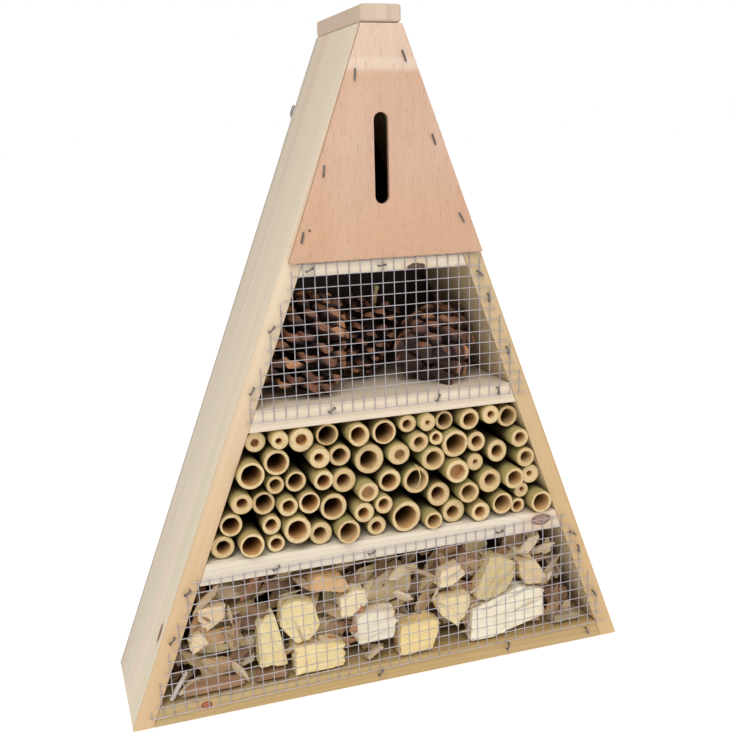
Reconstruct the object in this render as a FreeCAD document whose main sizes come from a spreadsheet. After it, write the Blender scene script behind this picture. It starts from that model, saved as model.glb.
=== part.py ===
import FreeCAD, Part

import math
import os

import Sketcher

# An insect hotel for a garden wall, in millimetres. Two boards lean together over a base and three
# shelves, under a flat cap. Plywood closes the back and the top bay, whose slot lets butterflies in.
# Welded wire mesh holds pine cones in the bay below it and broken wood in the lowest bay. The bay
# between them is open and packed with bamboo canes. Two ring hangers are screwed on behind.
# +Z is up, the front faces -Y, and the origin is the centre of the base's bottom face.

SIZES = (
    # the house
    ("overall_height", 380),
    ("base_width", 305),
    ("board_depth", 76),
    ("side_thick", 10.5),
    ("base_thick", 11),
    ("shelf_thick", 12),
    ("chip_bay_height", 68),
    ("cane_bay_height", 71),
    ("cone_bay_height", 70),
    ("plumb_cut", 1),
    ("apex_gap", 0.4),
    ("joint_gap", 0.1),
    # the cap
    ("cap_thick", 8.8),
    ("cap_overhang", 0.5),
    ("cap_corner_radius", 3),
    ("cap_edge_radius", 1.6),
    # the plywood
    ("ply_thick", 3),
    ("panel_lap", 4.5),
    ("panel_inset", 3),
    ("panel_cap_gap", 0.45),
    ("slot_width", 8),
    ("slot_length", 47),
    ("slot_rise", 24),
    ("slot_aside", 1.5),
    # the wire mesh
    ("mesh_pitch", 6.35),
    ("wire_diameter", 0.7),
    ("wire_gap", 0.02),
    ("cone_mesh_foot_drop", 10.4),
    ("cone_mesh_left_lap", 5),
    ("cone_mesh_right_lap", 9),
    ("chip_mesh_foot", 3.5),
    ("chip_mesh_head_lap", 6),
    ("chip_mesh_side_lap", 6),
    ("chip_mesh_turn", 1.1),
    # staples and brads
    ("staple_crown", 6),
    ("mesh_staple_crown", 4.8),
    ("staple_leg", 8),
    ("staple_wire", 0.9),
    ("brad_diameter", 1.4),
    ("brad_length", 28),
    ("brad_sink", 0.3),
    ("brad_spread", 23),
    # the ring hangers
    ("hanger_drop", 49),
    ("strap_width", 8.5),
    ("strap_length", 17.5),
    ("strap_thick", 0.8),
    ("ring_wire", 1.6),
    ("ring_width", 13),
    ("ring_drop", 9.5),
    ("ring_clearance", 0.12),
    ("screw_drop", 13.6),
    ("screw_diameter", 2.6),
    ("screw_head_diameter", 5.4),
    ("screw_head_height", 1.4),
    ("screw_length", 11),
    ("screw_slot", 0.8),
    # what the bays hold
    ("cane_length", 72),
    ("cane_clearance", 0.3),
    ("cane_wall_end", 3),
    ("chip_clearance", 0.6),
    ("cone_clearance", 0.8),
)

# Bamboo canes, course by course from the floor: the place of each across and up the bay, in
# hundredths as for the broken wood below, then its diameter, its bore, and how deep in from the
# mouth its own partition wall stands.
CANE_COURSES = (
    ((-92, 8, 13.6, 7.5, 50), (-78, 11, 14.2, 10.6, 50), (-64, 6, 10.5, 6.2, 40),
     (-39, 8, 13.5, 7.2, 50), (-24, 8, 14.1, 10.5, 45), (-7, 8, 11.8, 5.9, 50),
     (10, 14, 18.9, 13.2, 50), (25, 7, 11.1, 7.4, 40), (39, 8, 14.8, 7.2, 50), (54, 8, 12.2, 6.3, 50),
     (69, 13, 13.7, 9.8, 45), (79, 6, 9.6, 5.5, 50), (93, 10, 13.9, 10, 50)),
    ((-92, 27, 13.1, 9.2, 50), (-68, 21, 11.4, 6.2, 45), (-54, 18, 15.8, 10.5, 50),
     (-33, 30, 15.9, 11, 50), (-16, 23, 12.6, 6.1, 50), (-4, 28, 11.3, 6.1, 40),
     (32, 27, 14.7, 8, 50), (49, 28, 13, 8.5, 50), (65, 34, 14.9, 7.2, 45), (84, 21, 9.6, 2.7, 50),
     (80, 35, 13.2, 8.6, 50), (94, 34, 11.9, 3.2, 30)),
    ((-89, 45, 12.4, 5.8, 50), (-77, 42, 13.3, 9.2, 50), (-62, 38, 11.4, 6.7, 50),
     (-49, 38, 12.7, 9.2, 45), (-28, 51, 14.5, 7.7, 50), (-14, 41, 12.5, 7.3, 5),
     (1, 46, 13.9, 8.7, 50), (18, 44, 16.2, 11.4, 50), (44, 48, 14.6, 8.9, 6),
     (59, 51, 10.7, 2.8, 40), (94, 51, 12.3, 6.8, 50)),
    ((-92, 69, 15.7, 11.5, 50), (-72, 56, 10.4, 6.3, 50), (-59, 56, 12.2, 8.4, 45),
     (-43, 56, 11.9, 7.2, 50), (-12, 66, 17.6, 10.3, 50), (7, 68, 13.4, 6.1, 5),
     (30, 62, 14.5, 8.8, 50), (76, 58, 13.7, 7.1, 50), (94, 69, 11.6, 6.2, 45),
     (47, 70, 16.6, 11.6, 50), (61, 69, 12.2, 6.3, 50)),
    ((-78, 76, 15.3, 10.8, 50), (-47, 75, 12.2, 5, 50), (-32, 72, 13.1, 8.1, 45),
     (21, 76, 12.2, 6.1, 50), (34, 77, 8.7, 4.4, 50)),
    ((-92, 92, 11.9, 4.5, 4), (-78, 94, 10.3, 3.3, 50), (-61, 90, 14.2, 6.3, 6),
     (-43, 92, 13, 10.2, 50), (-22, 89, 13.2, 8.5, 50), (-2, 87, 14.6, 11, 45),
     (15, 92, 10.8, 5.2, 50), (28, 93, 10.4, 2.6, 50), (43, 90, 11.4, 7.9, 50),
     (60, 90, 12.8, 7.9, 50), (77, 92, 11.1, 4, 50), (93, 87, 13.2, 9, 50)),
)

# Broken wood: how far behind the bay's front it stands, its thickness, its face's slope across and
# up, and its outline. An outline is in hundredths of the bay: of half its width at that height,
# from the middle, and of its height, from the floor.
WOOD_CHIPS = (
    (2, 11, 0.03, -0.05, ((-65, 52), (-63, 63), (-58, 63), (-52, 38), (-47, 12), (-60, 15))),
    (2, 11, -0.05, 0.06, ((-54, 50), (-55, 68), (-51, 73), (-39, 67), (-35, 47), (-38, 33), (-45, 32))),
    (1.5, 12, 0.04, 0.04, ((-47, 30), (-27, 27), (-21, 22), (-21, 3), (-44, 3))),
    (2, 11, -0.04, -0.08, ((-43, 85), (-40, 91), (-27, 89), (-20, 76), (-24, 72), (-42, 78))),
    (2.5, 11, 0.06, 0.03, ((-26, 66), (-18, 72), (-11, 69), (-11, 57), (-19, 48), (-25, 48))),
    (1.5, 12, 0.02, -0.04, ((-17, 45), (-13, 49), (3, 47), (4, 36), (1, 21), (-15, 19), (-18, 26))),
    (1.5, 12, -0.03, 0.05, ((5, 29), (19, 32), (25, 28), (19, 2), (3, 1))),
    (1.5, 11, 0.06, -0.06, ((22, 50), (41, 49), (40, 35), (37, 24), (33, 18), (25, 33))),
    (1.8, 12, 0.03, 0.03, ((37, 2), (41, 32), (53, 39), (68, 46), (81, 40), (77, 14), (49, 2))),
    (2, 11, -0.05, 0.05, ((56, 80), (61, 81), (69, 73), (67, 60), (60, 46), (49, 39), (43, 43))),
    (3, 10, 0.06, -0.05, ((28, 74), (39, 79), (42, 68), (33, 59), (25, 58))),
    (3, 10, -0.06, 0.07, ((71, 71), (81, 70), (84, 52), (79, 45), (72, 47), (70, 57))),
    (3, 10, 0.07, -0.06, ((-97, 79), (-82, 78), (-82, 66), (-89, 56), (-95, 68))),
    (3, 10, -0.05, 0.04, ((-95, 56), (-91, 57), (-86, 48), (-92, 38), (-95, 45))),
    (16, 14, 0.05, 0.04, ((-90, 37), (-74, 66), (-65, 70), (-64, 57), (-73, 27), (-86, 20))),
    (16, 14, -0.04, 0.05, ((-33, 41), (-21, 42), (-19, 10), (-32, 8))),
    (16, 14, 0.03, -0.05, ((-10, 65), (0, 71), (11, 76), (16, 73), (15, 51), (-6, 40), (-11, 54))),
    (16, 14, 0.05, 0.05, ((18, 46), (21, 60), (33, 64), (36, 52), (25, 44))),
    (16, 14, -0.05, 0.03, ((42, 75), (49, 81), (57, 76), (53, 64), (48, 55), (42, 57))),
    (16, 14, 0.04, 0.06, ((-89, 88), (-70, 83), (-70, 71), (-86, 76))),
    (33, 34, 0.04, 0.05, ((-84, 4), (-88, 46), (-55, 52), (-50, 20), (-60, 3))),
    (33, 34, -0.05, 0.04, ((-44, 3), (-46, 40), (-14, 46), (-4, 24), (-8, 2))),
    (33, 34, 0.03, -0.04, ((0, 2), (4, 44), (36, 50), (42, 22), (36, 3))),
    (33, 34, -0.04, 0.05, ((47, 2), (46, 40), (70, 56), (88, 50), (86, 4))),
)

BARK_STRIPS = (
    (3, 8, 0.04, -0.03, ((-93, 2), (-90, 9), (-76, 8), (-65, 7), (-65, 2))),
    (3, 8, -0.03, 0.05, ((-61, 2), (-60, 8), (-47, 10), (-46, 3))),
    (3, 8, 0.05, -0.04, ((79, 2), (80, 9), (92, 10), (97, 6), (97, 2))),
    (33, 12, 0.04, -0.03, ((-69, 68), (-60, 78), (-48, 86), (-47, 73), (-60, 61))),
    (16, 12, 0.05, 0.05, ((84, 12), (83, 30), (97, 26), (96, 12))),
    (16, 12, -0.06, 0.05, ((90, 62), (96, 66), (97, 42), (92, 36))),
    (16, 12, 0.05, -0.06, ((-98, 38), (-93, 40), (-91, 27), (-94, 18), (-98, 26))),
)

WOOD_SLIVERS = (
    (2, 3, 0.05, 0.04, ((-97, 2), (-95, 16), (-93, 26), (-92, 24), (-95, 2))),
    (2, 5, -0.05, 0.05, ((-13, 4), (-5, 15), (-2, 14), (-11, 2))),
    (16, 12, 0.04, 0.05, ((-70, 14), (-66, 38), (-62, 38), (-60, 12), (-65, 8))),
    (16, 12, -0.04, 0.03, ((-31, 66), (-23, 64), (-23, 45), (-30, 44))),
    (33, 14, 0.05, -0.04, ((-41, 74), (-29, 73), (-27, 50), (-36, 48))),
    (33, 14, -0.03, 0.05, ((-19, 88), (-8, 88), (-3, 72), (-12, 60))),
    (33, 14, 0.04, 0.04, ((44, 84), (66, 84), (66, 74), (46, 72))),
    (33, 14, -0.04, 0.03, ((71, 80), (89, 80), (88, 68), (73, 66))),
)

doc = FreeCAD.newDocument("InsectHotel")
sheet = doc.addObject("Spreadsheet::Sheet", "Sizes")
for row, (name, value) in enumerate(SIZES, start=1):
    sheet.set(f"A{row}", name)
    sheet.set(f"B{row}", str(value))
    sheet.setAlias(f"B{row}", name)

# Sizes that follow from the ones in the sheet, bound to it.
WORKED = (
    ("side_top", "Sizes.overall_height - Sizes.cap_thick"),
    ("lean_rise", "Worked.side_top - Sizes.plumb_cut"),
    ("lean_run", "(Sizes.base_width - Sizes.apex_gap) / 2"),
    ("lean_slope", "tan(acos(Sizes.side_thick / sqrt(Worked.lean_rise ^ 2 + Worked.lean_run ^ 2))"
                   " - atan2(Worked.lean_rise; Worked.lean_run))"),
    ("side_across", "Sizes.side_thick * sqrt(1 + Worked.lean_slope ^ 2)"),
    ("lower_shelf_foot", "Sizes.base_thick + Sizes.chip_bay_height"),
    ("cane_floor", "Worked.lower_shelf_foot + Sizes.shelf_thick"),
    ("middle_shelf_foot", "Worked.cane_floor + Sizes.cane_bay_height"),
    ("cone_floor", "Worked.middle_shelf_foot + Sizes.shelf_thick"),
    ("upper_shelf_foot", "Worked.cone_floor + Sizes.cone_bay_height"),
    ("upper_shelf_top", "Worked.upper_shelf_foot + Sizes.shelf_thick"),
    ("panel_foot", "Worked.upper_shelf_top - Sizes.panel_lap"),
    ("panel_top", "Worked.side_top - Sizes.panel_cap_gap"),
    ("half_depth", "Sizes.board_depth / 2"),
)
worked = doc.addObject("App::VarSet", "Worked")
for name, expression in WORKED:
    worked.addProperty("App::PropertyFloat", name, "Worked")
doc.recompute()
for name, expression in WORKED:
    worked.setExpression(name, expression)
    doc.recompute()


def size(name):
    """A size from the sheet, or one worked out from it."""
    return getattr(worked, name) if hasattr(worked, name) else float(sheet.get(name))


def half_outer(height):
    """Half the house's width outside, at a height."""
    return size("base_width") / 2 - height * size("lean_slope")


def half_inner(height):
    """Half the width between the side boards, at a height."""
    return half_outer(height) - size("side_across")


def outer_at(height):
    """The expression for half_outer at a height given as an expression."""
    return f"(Sizes.base_width / 2 - ({height}) * Worked.lean_slope)"


LEAN = math.degrees(math.atan(size("lean_slope")))
HALF_DEPTH = size("half_depth")
X_AXIS = FreeCAD.Vector(1, 0, 0)
Y_AXIS = FreeCAD.Vector(0, 1, 0)
Z_AXIS = FreeCAD.Vector(0, 0, 1)
sub_parts = []


def new_body(name):
    body = doc.addObject("PartDesign::Body", name)
    body.Label = name
    sub_parts.append(body)
    return body


def new_sketch(body, name, plane):
    sketch = body.newObject("Sketcher::SketchObject", name)
    support = [item for item in body.Origin.OriginFeatures if item.Role == plane]
    sketch.AttachmentSupport = [(support[0], "")]
    sketch.MapMode = "FlatFace"
    return sketch


def hold(sketch, geometry, point, along, up):
    """Bind one point of a sketch to two expressions, 0 meaning on the axis itself."""
    for kind, expression, axis in (("DistanceX", along, -2), ("DistanceY", up, -1)):
        if expression == "0":
            sketch.addConstraint(Sketcher.Constraint("PointOnObject", geometry, point, axis))
            continue
        value = float(sketch.evalExpression(expression))
        index = sketch.addConstraint(Sketcher.Constraint(kind, -1, 1, geometry, point, value))
        sketch.setExpression(f"Constraints[{index}]", expression)


def outline(body, name, plane, corners):
    """A closed outline of straight lines, each corner bound to two expressions."""
    sketch = new_sketch(body, name, plane)
    points = [FreeCAD.Vector(*(float(sketch.evalExpression(text)) for text in corner), 0)
              for corner in corners]
    count = len(points)
    for index in range(count):
        sketch.addGeometry(Part.LineSegment(points[index], points[(index + 1) % count]))
    for index in range(count):
        following = (index + 1) % count
        sketch.addConstraint(Sketcher.Constraint("Coincident", index, 2, following, 1))
    for index, corner in enumerate(corners):
        hold(sketch, index, 1, *corner)
    return sketch


def padded(body, sketch, length, both_ways=True):
    pad = body.newObject("PartDesign::Pad", sketch.Name + "_pad")
    pad.Profile = sketch
    pad.SideType = "Symmetric" if both_ways else "One side"
    pad.setExpression("Length", length)
    return pad


def placed(body, **places):
    """Bind a body's place: x, y and z are expressions."""
    for axis, expression in places.items():
        body.setExpression(f"Placement.Base.{axis}", expression)


def add_feature(name, shape, placement=None):
    feature = doc.addObject("Part::Feature", name)
    feature.Label = name
    feature.Shape = shape
    feature.Placement = placement or FreeCAD.Placement()
    sub_parts.append(feature)
    return feature


def add_group(name, solids):
    """Separate solids of one kind in one sub-part."""
    return add_feature(name, Part.makeCompound(solids))


# ---- the boards ----

def side_board(name, turn):
    """One leaning side, drawn for the right. The left is the same board turned half round."""
    body = new_body(name)
    corners = (("Sizes.base_width / 2 - Worked.side_across", "0"),
               ("Sizes.base_width / 2", "0"),
               (outer_at("Worked.side_top"), "Worked.side_top"),
               ("Sizes.apex_gap / 2", "Worked.side_top"),
               ("Sizes.apex_gap / 2", "Worked.side_top - Sizes.plumb_cut"))
    sketch = outline(body, name + "_outline", "XZ_Plane", corners)
    padded(body, sketch, "Sizes.board_depth")
    body.Placement = FreeCAD.Placement(FreeCAD.Vector(), FreeCAD.Rotation(Z_AXIS, turn))


def cross_board(name, foot, thick):
    """A board between the sides, its ends cut to their lean."""
    body = new_body(name)
    gap = "Worked.side_across - Sizes.joint_gap"
    half_foot = f"({outer_at(foot)} - {gap})"
    half_top = f"({outer_at(foot + ' + ' + thick)} - {gap})"
    corners = (("0", "0"), (f"2 * {half_foot}", "0"),
               (f"{half_foot} + {half_top}", thick), (f"{half_foot} - {half_top}", thick))
    sketch = outline(body, name + "_outline", "XZ_Plane", corners)
    padded(body, sketch, "Sizes.board_depth")
    placed(body, x=f"-{half_foot}", z=foot)


side_board("left_side_board", 180)
side_board("right_side_board", 0)
cross_board("base_board", "0", "Sizes.base_thick")
cross_board("lower_shelf", "Worked.lower_shelf_foot", "Sizes.shelf_thick")
cross_board("middle_shelf", "Worked.middle_shelf_foot", "Sizes.shelf_thick")
cross_board("upper_shelf", "Worked.upper_shelf_foot", "Sizes.shelf_thick")


def edges_where(shape, test):
    return [f"Edge{number}" for number, edge in enumerate(shape.Edges, start=1) if test(edge)]


def rounded(body, name, base, test, radius):
    doc.recompute()
    fillet = body.newObject("PartDesign::Fillet", name)
    fillet.Base = (base, edges_where(base.Shape, test))
    fillet.setExpression("Radius", radius)
    return fillet


def top_cap():
    """The flat strip over the ridge, its corners and rims rounded."""
    body = new_body("top_cap")
    width = f"2 * {outer_at('Worked.side_top')}"
    depth = "Sizes.board_depth + 2 * Sizes.ply_thick + 2 * Sizes.cap_overhang"
    corners = (("0", "0"), (width, "0"), (width, depth), ("0", depth))
    sketch = outline(body, "cap_outline", "XY_Plane", corners)
    pad = padded(body, sketch, "Sizes.cap_thick", both_ways=False)
    placed(body, x=f"-{outer_at('Worked.side_top')}", y=f"-({depth}) / 2", z="Worked.side_top")

    def upright(edge):
        return edge.BoundBox.ZLength > size("cap_thick") / 2

    def rim(edge):
        return edge.BoundBox.ZLength < size("cap_edge_radius") / 2

    corners_done = rounded(body, "cap_corners", pad, upright, "Sizes.cap_corner_radius")
    rounded(body, "cap_rims", corners_done, rim, "Sizes.cap_edge_radius")


top_cap()


# ---- the plywood ----

def back_panel():
    body = new_body("back_panel")
    top = outer_at("Worked.side_top")
    corners = (("0", "0"), ("Sizes.base_width", "0"),
               (f"Sizes.base_width / 2 + {top}", "Worked.side_top"),
               (f"Sizes.base_width / 2 - {top}", "Worked.side_top"))
    sketch = outline(body, "back_outline", "XZ_Plane", corners)
    padded(body, sketch, "Sizes.ply_thick")
    placed(body, x="-Sizes.base_width / 2", y="Worked.half_depth + Sizes.ply_thick / 2")


def front_panel():
    """The panel over the top bay: its left edge tapers in a little, and it has a long slot."""
    body = new_body("front_panel")
    foot = outer_at("Worked.panel_foot")
    top = outer_at("Worked.panel_top")
    left = f"({foot} - Sizes.panel_inset)"
    height = "Worked.panel_top - Worked.panel_foot"
    corners = (("0", "0"), (f"{left} + {foot}", "0"),
               (f"{left} + {top}", height), (f"{left} - {top}", height))
    sketch = outline(body, "panel_outline", "XZ_Plane", corners)
    pad = padded(body, sketch, "Sizes.ply_thick")
    placed(body, x=f"-{left}", y="-Worked.half_depth - Sizes.ply_thick / 2", z="Worked.panel_foot")
    doc.recompute()
    whole = pad.Shape.Volume
    slot = new_sketch(body, "slot_outline", "XZ_Plane")
    middle = f"{left} - Sizes.slot_aside"
    low = "Sizes.slot_rise + Sizes.panel_lap + Sizes.slot_width / 2"
    high = "Sizes.slot_rise + Sizes.panel_lap + Sizes.slot_length - Sizes.slot_width / 2"
    x_mid, z_low, z_high = (float(slot.evalExpression(text)) for text in (middle, low, high))
    radius = size("slot_width") / 2
    for centre, start in ((z_high, 0), (z_low, math.pi)):
        circle = Part.Circle(FreeCAD.Vector(x_mid, centre, 0), Z_AXIS, radius)
        slot.addGeometry(Part.ArcOfCircle(circle, start, start + math.pi))
    for side in (1, -1):
        x_side = x_mid + side * radius
        ends = [FreeCAD.Vector(x_side, z_low, 0), FreeCAD.Vector(x_side, z_high, 0)]
        slot.addGeometry(Part.LineSegment(*ends))
    # right line to both arcs, then left line to both arcs
    for first, first_end, second, second_end in ((0, 1, 2, 2), (0, 2, 3, 2), (1, 2, 2, 1), (1, 1, 3, 1)):
        slot.addConstraint(Sketcher.Constraint("Tangent", first, first_end, second, second_end))
    hold(slot, 0, 3, middle, high)
    hold(slot, 1, 3, middle, low)
    index = slot.addConstraint(Sketcher.Constraint("Radius", 0, radius))
    slot.setExpression(f"Constraints[{index}]", "Sizes.slot_width / 2")
    pocket = body.newObject("PartDesign::Pocket", "slot_pocket")
    pocket.Profile = slot
    pocket.SideType = "Symmetric"
    pocket.setExpression("Length", "2 * Sizes.ply_thick")
    doc.recompute()
    round_ends = math.pi * radius ** 2
    slot_area = round_ends + size("slot_width") * (size("slot_length") - size("slot_width"))
    removed = whole - pocket.Shape.Volume
    assert abs(removed - slot_area * size("ply_thick")) < 0.01, "the slot isn't cut right through"


back_panel()
front_panel()
FRONT = -HALF_DEPTH
PANEL_FACE = FRONT - size("ply_thick")
BACK_FACE = HALF_DEPTH + size("ply_thick")


# ---- the welded wire mesh ----

def wire(start, end):
    along = end - start
    return Part.makeCylinder(size("wire_diameter") / 2, along.Length, start, along)


def wire_mesh(name, foot, head, left_lap, right_lap, first_upright, turn=0):
    """Upright wires against the boards with level wires in front, trimmed along the sides.

    turn tips the whole mesh in its own plane, its right end up, as it was stapled on a little askew.
    """
    pitch = size("mesh_pitch")
    radius = size("wire_diameter") / 2
    upright_y = FRONT - radius - size("wire_gap")
    level_y = upright_y - 2 * radius - size("wire_gap")
    wires = []

    def trim(height, lap, count):
        ragged = 1.5 * math.sin(2.4 * count + lap)
        return half_inner(height) + lap - abs(ragged)

    rows = int((head - foot - 2 * radius) / pitch)
    for row in range(rows + 1):
        height = head - radius - row * pitch
        start = FreeCAD.Vector(-trim(height, left_lap, row), level_y, height)
        end = FreeCAD.Vector(trim(height, right_lap, row), level_y, height)
        wires.append(wire(start, end))
    lowest = head - radius - rows * pitch
    columns = int(half_outer(foot) / pitch) + 1
    for column in range(-columns, columns + 1):
        across = first_upright + column * pitch
        lap = left_lap if across < 0 else right_lap
        reach = half_inner(0) + lap - abs(across)
        top = min(head, reach / size("lean_slope"))
        if top > lowest + pitch / 2:
            start = FreeCAD.Vector(across, upright_y, lowest - radius)
            wires.append(wire(start, FreeCAD.Vector(across, upright_y, top)))
    for solid in wires:
        solid.rotate(FreeCAD.Vector(0, 0, (foot + head) / 2), Y_AXIS, -turn)
    add_group(name, wires)


CONE_MESH_FOOT = size("cone_floor") - size("cone_mesh_foot_drop")
CHIP_MESH_HEAD = size("lower_shelf_foot") + size("chip_mesh_head_lap")
wire_mesh("upper_wire_mesh", CONE_MESH_FOOT, size("panel_foot") - size("wire_diameter"),
          size("cone_mesh_left_lap"), size("cone_mesh_right_lap"), -1.3)
wire_mesh("lower_wire_mesh", size("chip_mesh_foot"), CHIP_MESH_HEAD,
          size("chip_mesh_side_lap"), size("chip_mesh_side_lap"), -2.9, size("chip_mesh_turn"))


# ---- staples and brads ----

def staple(across, height, turn, face, outward, crown=size("staple_crown")):
    """A staple driven into a face, its crown upright at no turn. outward is -1 on the front."""
    thick = size("staple_wire")
    leg = size("staple_leg")
    bar = Part.makeBox(thick, thick, crown, FreeCAD.Vector(-thick / 2, -thick, -crown / 2))
    legs = [Part.makeBox(thick, leg + thick, thick, FreeCAD.Vector(-thick / 2, -thick, low))
            for low in (-crown / 2, crown / 2 - thick)]
    solid = bar.fuse(legs).removeSplitter()
    solid.rotate(FreeCAD.Vector(), Y_AXIS, turn)
    if outward > 0:
        solid.rotate(FreeCAD.Vector(), Z_AXIS, 180)
    solid.translate(FreeCAD.Vector(across, face, height))
    return solid.Solids[0]


def on_side(height, side):
    """The middle of a side board's front or back edge, at a height."""
    return side * (half_outer(height) - size("side_across") / 2)


MESH_FACE = FRONT - 2 * size("wire_diameter") - 3 * size("wire_gap")
PANEL_HEIGHT = size("panel_top") - size("panel_foot")
panel_staples = [(-1, 0.79, 4), (-1, 0.39, 6), (-1, 0.11, 14), (1, 0.865, -LEAN), (1, 0.51, -LEAN),
                 (1, 0.16, -30)]
add_group("front_panel_staples",
          [staple(on_side(size("panel_foot") + share * PANEL_HEIGHT, side),
                  size("panel_foot") + share * PANEL_HEIGHT, turn, PANEL_FACE, -1)
           for side, share, turn in panel_staples])

# side, height as a share of the bay, turn; then place across as a share of the shelf, lift, turn
CONE_MESH_SIDE = ((-1, 0.62, 50), (-1, 0.16, 35), (1, 0.73, -10), (1, 0.28, -16), (1, 0.93, -50))
CONE_MESH_SHELVES = ((-0.9, "upper", 65), (-0.04, "upper", 84), (-0.43, "middle", 58),
                     (0.39, "middle", 30), (0.88, "middle", -12))
CHIP_MESH_SIDE = ((-1, 0.97, 50), (-1, 0.58, 40), (1, 0.77, -10), (1, 0.3, -35), (1, 0.93, -60))
CHIP_MESH_SHELVES = ((-0.62, "lower", 62), (-0.11, "lower", 66), (0.63, "lower", 80),
                     (-0.06, "base", 40), (0.54, "base", 15), (0.94, "base", -25))
SHELF_MIDDLES = {
    "upper": size("panel_foot") - 0.35 * size("shelf_thick"),
    "middle": size("cone_floor") - 0.32 * size("shelf_thick"),
    "lower": size("lower_shelf_foot") + 0.33 * size("shelf_thick"),
    "base": 0.55 * size("base_thick"),
}


def mesh_staples(name, bay_floor, bay_height, on_sides, on_shelves):
    crown = size("mesh_staple_crown")
    solids = []
    for side, share, turn in on_sides:
        height = bay_floor + share * bay_height
        solids.append(staple(on_side(height, side), height, turn, MESH_FACE, -1, crown))
    for share, shelf, turn in on_shelves:
        height = SHELF_MIDDLES[shelf]
        solids.append(staple(share * half_inner(height), height, turn, MESH_FACE, -1, crown))
    add_group(name, solids)


mesh_staples("upper_mesh_staples", size("cone_floor"), size("cone_bay_height"),
             CONE_MESH_SIDE, CONE_MESH_SHELVES)
mesh_staples("lower_mesh_staples", size("base_thick"), size("chip_bay_height"),
             CHIP_MESH_SIDE, CHIP_MESH_SHELVES)

back_places = [(on_side(share * size("side_top"), side), share * size("side_top"), -side * LEAN)
               for share in (0.12, 0.42, 0.7) for side in (-1, 1)]
for floor in ("lower_shelf_foot", "middle_shelf_foot", "upper_shelf_foot"):
    middle = size(floor) + size("shelf_thick") / 2
    back_places += [(side * 0.45 * half_inner(middle), middle, 90) for side in (-1, 1)]
add_group("back_panel_staples",
          [staple(across, height, -turn, BACK_FACE, 1) for across, height, turn in back_places])


def brad(start, direction):
    return Part.makeCylinder(size("brad_diameter") / 2, size("brad_length"), start, direction)


BOARD_MIDDLES = [size("base_thick") / 2] + [
    size(foot) + size("shelf_thick") / 2
    for foot in ("lower_shelf_foot", "middle_shelf_foot", "upper_shelf_foot")]
BRAD_DEPTH = size("brad_sink") + size("brad_diameter") / 4
add_group("side_brads",
          [brad(FreeCAD.Vector(side * (half_outer(height) - BRAD_DEPTH), end * size("brad_spread"), height),
                X_AXIS * -side)
           for height in BOARD_MIDDLES for side in (-1, 1) for end in (-1, 1)])
CAP_TOP = size("side_top") + size("cap_thick")
add_group("cap_brads",
          [brad(FreeCAD.Vector(side * half_outer(size("side_top")) / 2, side * size("brad_spread"),
                               CAP_TOP - size("brad_sink")),
                FreeCAD.Vector(side * size("lean_slope"), 0, -1))
           for side in (-1, 1)])


# ---- the ring hangers ----

def hanger(side_name, side):
    """A strap folded round a ring's bar and screwed on behind a side board, in line with it."""
    width = size("strap_width")
    thick = size("strap_thick")
    wire_radius = size("ring_wire") / 2
    bore = wire_radius + size("ring_clearance")
    knuckle = bore + thick
    height = size("side_top") - size("hanger_drop") + size("cap_thick")
    turn = FreeCAD.Rotation(Y_AXIS, -side * LEAN)
    place = FreeCAD.Placement(FreeCAD.Vector(on_side(height, side), BACK_FACE, height), turn)

    # drawn with the bar along X, its middle a knuckle's radius off the plywood, and the strap below
    plate = Part.makeBox(width, thick, size("strap_length"),
                         FreeCAD.Vector(-width / 2, 0, -size("strap_length")))
    centre = FreeCAD.Vector(-width / 2, knuckle, 0)
    roll = Part.makeCylinder(knuckle, width, centre, X_AXIS)
    hole = Part.makeCylinder(bore, width, centre, X_AXIS)
    shank_hole = Part.makeCylinder(size("screw_diameter") / 2, thick,
                                   FreeCAD.Vector(0, 0, -size("screw_drop")), Y_AXIS)
    strap = plate.fuse(roll).removeSplitter().cut([hole, shank_hole])
    rim = [edge for edge in strap.Edges
           if edge.BoundBox.YLength > thick / 2 and edge.BoundBox.ZMax < -size("strap_length") / 2
           and edge.BoundBox.XLength < thick / 2]
    strap = strap.makeFillet(width / 3, rim)
    add_feature(side_name + "_hanger_strap", strap, place)

    reach = size("ring_width") / 2 - wire_radius
    leg_drop = size("ring_drop") - size("ring_width") / 2
    bar = Part.makeCylinder(wire_radius, 2 * reach, FreeCAD.Vector(-reach, knuckle, 0), X_AXIS)
    pieces = []
    for end in (-1, 1):
        corner = FreeCAD.Vector(end * reach, knuckle, 0)
        pieces.append(Part.makeSphere(wire_radius, corner))
        pieces.append(Part.makeCylinder(wire_radius, leg_drop, corner, -Z_AXIS))
    section = Part.Face(Part.Wire(Part.makeCircle(wire_radius,
                                                  FreeCAD.Vector(reach, knuckle, -leg_drop), Z_AXIS)))
    bow = section.revolve(FreeCAD.Vector(0, knuckle, -leg_drop), Y_AXIS, 180)
    ring = bar.fuse(pieces + [bow]).removeSplitter()
    add_feature(side_name + "_hanger_ring", ring, place)

    shank = Part.makeCylinder(size("screw_diameter") / 2, size("screw_length"),
                              FreeCAD.Vector(0, thick, -size("screw_drop")), -Y_AXIS)
    head = Part.makeCylinder(size("screw_head_diameter") / 2, size("screw_head_height"),
                             FreeCAD.Vector(0, thick, -size("screw_drop")), Y_AXIS)
    dome = [edge for edge in head.Edges if edge.BoundBox.YMin > thick + size("screw_head_height") / 2]
    head = head.makeFillet(size("screw_head_height") / 2, dome)
    slot_deep = size("screw_head_height") / 2
    drive = [Part.makeBox(long, slot_deep, wide,
                          FreeCAD.Vector(-long / 2, thick + slot_deep, -size("screw_drop") - wide / 2))
             for long, wide in ((3.2, size("screw_slot")), (size("screw_slot"), 3.2))]
    screw = head.fuse(shank).cut(drive)
    add_feature(side_name + "_hanger_screw", screw, place)


hanger("left", -1)
hanger("right", 1)


# ---- bamboo canes ----

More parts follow.
